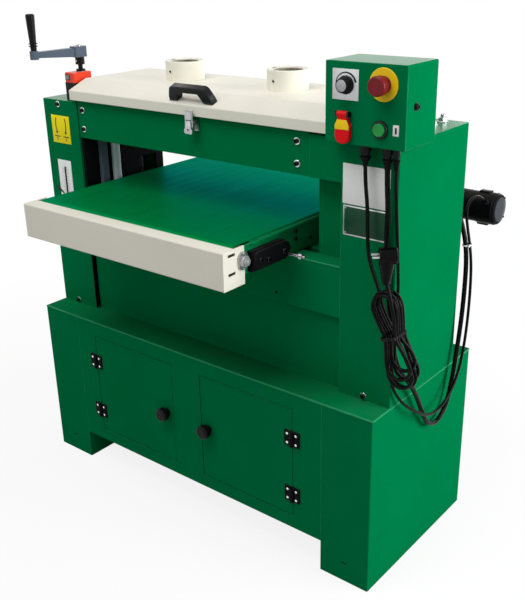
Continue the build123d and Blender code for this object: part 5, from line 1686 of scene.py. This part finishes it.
@dataclass
class ConveyorTable:
    """The bearings' nuts, the take-up casting, bolts and the feed motor's end bell."""

    right_bearing_x: float = 294.0
    left_bearing_x: float = -376.0
    roller: Flat = (-328.0, 794.0)
    take_up: Spot = (292.0, -243.0, 785.0)
    take_up_thick: float = 7.0
    right_side_x: float = 280.0
    left_side_x: float = -362.0
    slot_starts: Flat = (282.0, -365.4)
    slot_y: Flat = (-371.4, -350.6)
    slot_levels: Flat = (814.0, 773.0)
    motor: Spot = (558.0, 320.0, 794.0)
    motor_lug: Box = ((-11.0, 36.0, -52.0), (11.0, 42.6, -24.0))
    edge_bead: Box = ((276.5, -296.0, 815.5), (283.0, 270.0, 823.5))

    def build(self) -> None:
        """Make the table's pieces."""
        self._bearing_nuts()
        self._take_up()
        self._bolts()
        self._slot_shade()
        self._motor_bell()

    def _bearing_nuts(self) -> None:
        """Make the flanges and nuts on the front roller's bearings."""
        flange = [(12.4, 0), (12.4, 0.8), (11.6, 1.8), (9.6, 1.8), (9.2, 0.5), (0, 0.5)]
        shape = Shape()
        for facing, x in ((Facing.RIGHT, self.right_bearing_x), (Facing.LEFT, self.left_bearing_x)):
            stand = facing.stand((x, *self.roller))
            shape.turned(flange, stand, 48)
            for rise in (-16.4, 16.4):
                shape.cap_screw(moved(stand, 0.0, rise, -5.0), 2.8, 2.6)
            shape.turned([(8.6, 0.4, Ring.HEX), (8.6, 5.6, Ring.HEX), (0, 5.6)], stand, 36)
            shape.turned([(4.4, 5.4), (4.4, 8.8), (3.6, 9.6), (0, 9.6)], stand, 24)
        make_piece("roller_nuts", shape, [Finish.cast_aluminium], "table")

    def _take_up(self) -> None:
        """Make the rounded casting on the take-up bracket, with its three bolts."""
        stand = Facing.RIGHT.stand(self.take_up)
        outline = rounded(63.0, 20.0, 16.0)
        shape = Shape().prism(outline, -0.4, self.take_up_thick, stand, edge=4.5, steps=4)
        for along, up in ((-42.0, 1.0), (-15.0, -5.0), (38.0, -1.0)):
            shape.cap_screw(moved(stand, along, up, self.take_up_thick), 6.0, 4.4, 1)
        finishes = [Finish.black_paint, Finish.gloss_black]
        make_piece("take_up_casting", shape, finishes, "table")

    def _bolts(self) -> None:
        """Make the bolts of the table's side plates and the bead along the right one."""
        right = ((-138.0, 808.0), (-138.0, 790.0), (-81.0, 779.0))
        left = ((-273.0, 786.0), (-193.0, 784.0), (-81.0, 779.0))
        shape = Shape()
        for facing, x, places in (
            (Facing.RIGHT, self.right_side_x, right), (Facing.LEFT, self.left_side_x, left)
        ):
            for place in places:
                shape.cap_screw(facing.stand((x, *place)), 4.6, 3.6)
        make_piece("table_bolts", shape, [Finish.gloss_black], "table")
        bead = Shape().block(*self.edge_bead, 3.0, steps=4)
        make_piece("edge_bead", bead, [Finish.green_paint], "table")

    def _slot_shade(self) -> None:
        """Make dark strips sunk in the slots at the ends of the front bar, painted shade inside the
        slots.
        """
        near, far = self.slot_y
        shape = Shape()
        for x in self.slot_starts:
            for z in self.slot_levels:
                # painted shade: dark strips deep in each slot
                shape.block((x, near, z - 2.6), (x + 1.4, far, z + 2.6), 0.4)
        make_piece("slot_painted_shade", shape, [Finish.ink], "table")

    def _motor_bell(self) -> None:
        """Make the feed motor's end bell with its lugs, rim and screws."""
        stand = Facing.RIGHT.stand(self.motor)
        shell = [(37.6, -52.0), (39.6, -51.0), (39.6, -8.0), (37.6, -6.0)]
        end = [(30.0, 0), (30.0, 1.0), (28.6, 1.8), (12.0, 1.8), (11.0, 3.0), (0, 3.0)]
        shape = Shape().ring(shell, stand, 64)
        for turn in (0, 1):
            lug = stand @ Matrix.Rotation(math.pi * turn, 4, "Z")
            shape.block(*self.motor_lug, 1.6, stand=lug)
        shape.turned(end, stand, 56, 2)
        for turn in range(4):
            at = polar(33.4, math.pi / 4 + math.pi / 2 * turn)
            shape.cap_screw(moved(stand, *at, 0.0), 2.4, 2.0, 1)
        finishes = [Finish.black_paint, Finish.ink, Finish.cast_grey]
        make_piece("motor_bell", shape, finishes, "table")


@dataclass
class Cabinet:
    """The hinges' screws and the knobs' inserts of the doors, and light strips along edges that are
    painted highlights.
    """

    leaf_y: float = -231.5
    hinge_z: Flat = (182.0, 335.7)
    screw_side: float = 12.5
    screw_rise: float = 12.0
    knob_y: float = -255.5
    knob_z: float = 265.0
    knob_bar: Box = ((-8.0, -1.6, 0.0), (8.0, 1.6, 0.9))
    front_highlight_strip: Box = ((-549.0, -228.7, 451.4), (549.0, -225.4, 456.0))
    side_highlight_strip: Box = ((548.4, -226.5, 450.8), (551.2, 226.5, 454.8))
    beam_highlight_strip: Box = ((300.0, -158.0, 753.2), (413.0, -155.2, 756.8))

    def build(self) -> None:
        """Make the cabinet's pieces."""
        self._hinge_screws()
        self._knob_inserts()
        # painted highlights: lighter green strips along the base's top edges and the beam's ledge
        highlight_strips = Shape().block(*self.front_highlight_strip, 1.4)
        highlight_strips.block(*self.side_highlight_strip, 1.2).block(*self.beam_highlight_strip, 1.2)
        make_piece("painted_edge_highlights", highlight_strips, [Finish.green_painted_highlight], "frame")

    def _hinge_screws(self) -> None:
        """Make four pale screw heads in each hinge, half on the frame and half on the door."""
        fixed = Shape()
        for axis, outward, door in ((-346.5, -1, "left_door"), (335.5, 1, "right_door")):
            moving = Shape()
            for level in self.hinge_z:
                for z in (level - self.screw_rise, level + self.screw_rise):
                    for shape, side in ((fixed, outward), (moving, -outward)):
                        at = (axis + side * self.screw_side, self.leaf_y, z)
                        shape.dome_screw(Facing.FRONT.stand(at), 3.2, 1.2)
            make_piece(f"{door}_hinge_screws", moving, [Finish.chrome], door)
        make_piece("hinge_screws", fixed, [Finish.chrome], "frame")

    def _knob_inserts(self) -> None:
        """Make the raised rim and the bar on the front of each door knob."""
        rim = [(10.4, 0), (12.6, 0), (12.2, 0.9), (10.8, 0.9)]
        for x, knob in ((-78.5, "left_door_knob"), (67.5, "right_door_knob")):
            stand = Facing.FRONT.stand((x, self.knob_y, self.knob_z))
            shape = Shape().ring(rim, stand, 40)
            shape.block(*self.knob_bar, 0.4, stand=stand)
            make_piece(f"{knob}_rim", shape, [Finish.black_plastic], knob)


@dataclass
class CrankGear:
    """Small parts of the crank and the position indicator."""

    axis: Flat = (-449.0, -101.0)
    hub_top: float = 1168.0
    hub_front: float = 11.9
    grub_z: float = 1131.0
    window_back: float = -139.8
    window: Sheet = ((-467.0, 1085.0), (-449.0, 1099.0))
    window_pane: Sheet = ((-465.4, 1086.6), (-450.6, 1097.4))

    def build(self) -> None:
        """Make the crank's pieces."""
        window = Shape().plate(*self.window, self.window_back, 1.0, 0.4, 1)
        window.plate(*self.window_pane, self.window_back - 0.6, 0.8, 0.3)
        make_piece("indicator_window", window, [Finish.window_grey, Finish.ink], "frame")
        x, y = self.axis
        screws = Shape().cap_screw(Facing.UP.stand((x, y, self.hub_top)), 6.0, 3.0)
        screws.cap_screw(Facing.FRONT.stand((x, y - self.hub_front, self.grub_z)), 2.6, 0.8)
        make_piece("crank_screws", screws, [Finish.bright_steel], "crank")
        low, high = (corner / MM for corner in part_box("crank_grip"))
        stand = Facing.UP.stand(((low.x + high.x) / 2, (low.y + high.y) / 2, low.z))
        inner = (high.x - low.x) / 2 - 2.0
        outer = inner + 2.2
        bands = Shape()
        for level in (10.0, 16.0):
            band = [(inner, 0.0), (outer, 0.4), (outer, 1.8), (inner, 2.2)]
            bands.ring(shifted(band, 0.0, level), stand, 40)
        make_piece("grip_bands", bands, [Finish.black_plastic], "crank_grip")


@dataclass
class Studio:
    """The floor, the light and the camera."""

    camera_at: Spot = (1.3778, -1.6016, 1.3928)
    camera_turn: Spot = (67.695, 1.1443, 38.797)
    lens: float = 51.41
    aim: Spot = (0.0, 0.0, 0.65)
    floor_reach: float = 14.0
    floor_lit: Colour = (0.45, 0.45, 0.45, 1.0)
    floor_seen: Colour = (0.95, 0.95, 0.95, 1.0)
    white: Colour = (1.0, 1.0, 1.0, 1.0)
    even_light: float = 0.22

    def build(self) -> None:
        """Set up the studio."""
        self._camera()
        self._floor()
        self._world()
        self._lamp("side_softbox", (3.3, 0.7, 1.6), 2.0, 112.0)
        self._lamp("top_softbox", (-0.1, -1.2, 3.1), 1.9, 44.0)
        self._lamp("front_softbox", (-1.2, -3.4, 1.7), 2.4, 12.0)
        self._lamp("rear_softbox", (0.2, 3.0, 1.5), 2.0, 38.0)
        bpy.context.scene.view_settings.view_transform = "Standard"

    def _camera(self) -> None:
        """Stand the camera where the photograph was taken from."""
        data = bpy.data.cameras.new("camera")
        data.lens = self.lens
        data.sensor_width = 36.0
        data.sensor_fit = "AUTO"
        camera = show(bpy.data.objects.new("camera", data))
        camera.location = self.camera_at
        camera.rotation_euler = [math.radians(turn) for turn in self.camera_turn]
        bpy.context.scene.camera = camera

    def _lamp(self, name: str, at: Spot, size: float, power: float) -> None:
        """Hang a square lamp that looks at the machine.

        Args:
            name: The lamp's name.
            at: Where it hangs.
            size: Its side in metres.
            power: Its power in watts.
        """
        data = bpy.data.lights.new(name, "AREA")
        data.shape = "SQUARE"
        data.size = size
        data.energy = power
        lamp = show(bpy.data.objects.new(name, data))
        lamp.location = at
        way = Vector(self.aim) - Vector(at)
        lamp.rotation_euler = way.to_track_quat("-Z", "Y").to_euler()

    @staticmethod
    def _seen(net: Net) -> bpy.types.NodeSocket:
        """Tell rays that show the background from rays that only light the machine.

        Args:
            net: The net of the floor or the world.

        Returns:
            The socket that is 1 for rays that show it.
        """
        path = net.add("ShaderNodeLightPath").outputs
        sharp = net.sum("MAXIMUM", path["Is Camera Ray"], path["Is Glossy Ray"])
        return net.sum("MAXIMUM", sharp, path["Is Transmission Ray"])

    def _floor(self) -> None:
        """Lay a pale floor that keeps the machine's shadow."""
        material = bpy.data.materials.new("pale_floor")
        net = Net.inside(material)
        seen = self._seen(net)
        tone = net.blend(seen, self.floor_lit, self.floor_seen)
        matt = net.add("ShaderNodeBsdfDiffuse", {"Color": tone})
        glow = net.add("ShaderNodeEmission", {"Color": self.white, "Strength": 1.0})
        where = net.add("ShaderNodeNewGeometry").outputs["Position"]
        away = net.add("ShaderNodeVectorMath", {0: where}, operation="LENGTH").outputs["Value"]
        share = net.sum("MULTIPLY", seen, net.spread(away, 0.9, 2.0, 0.86, 1.0))
        both = net.add("ShaderNodeMixShader", {0: share, 1: matt.outputs[0], 2: glow.outputs[0]})
        net.add("ShaderNodeOutputMaterial", {"Surface": both.outputs[0]})
        mesh = bpy.data.meshes.new("floor")
        corners = [(u, v, 0.0) for u, v in ((-1, -1), (1, -1), (1, 1), (-1, 1))]
        mesh.from_pydata([Vector(corner) * self.floor_reach for corner in corners], [], [range(4)])
        mesh.materials.append(material)
        floor = show(bpy.data.objects.new("floor", mesh))

    def _world(self) -> None:
        """Give an even light from all round, with a white backdrop."""
        world = bpy.data.worlds.new("studio")
        net = Net.inside(world)
        inputs = {0: self._seen(net)}
        for number, strength in ((1, self.even_light), (2, 1.0)):
            light = {"Color": self.white, "Strength": strength}
            inputs[number] = net.add("ShaderNodeBackground", light).outputs[0]
        both = net.add("ShaderNodeMixShader", inputs)
        net.add("ShaderNodeOutputWorld", {"Surface": both.outputs[0]})
        bpy.context.scene.world = world


def main() -> None:
    """Build the machine's looks in order."""
    EFFECTS.build()
    Studio().build()
    Leads().build()
    Bodywork().dress()
    for assembly in (
        ControlStation(), Columns(), DustCover(), ConveyorTable(), Cabinet(), CrankGear()
    ):
        assembly.build()
        log.info("%s is done", type(assembly).__name__)


if __name__ == "__main__":
    main()
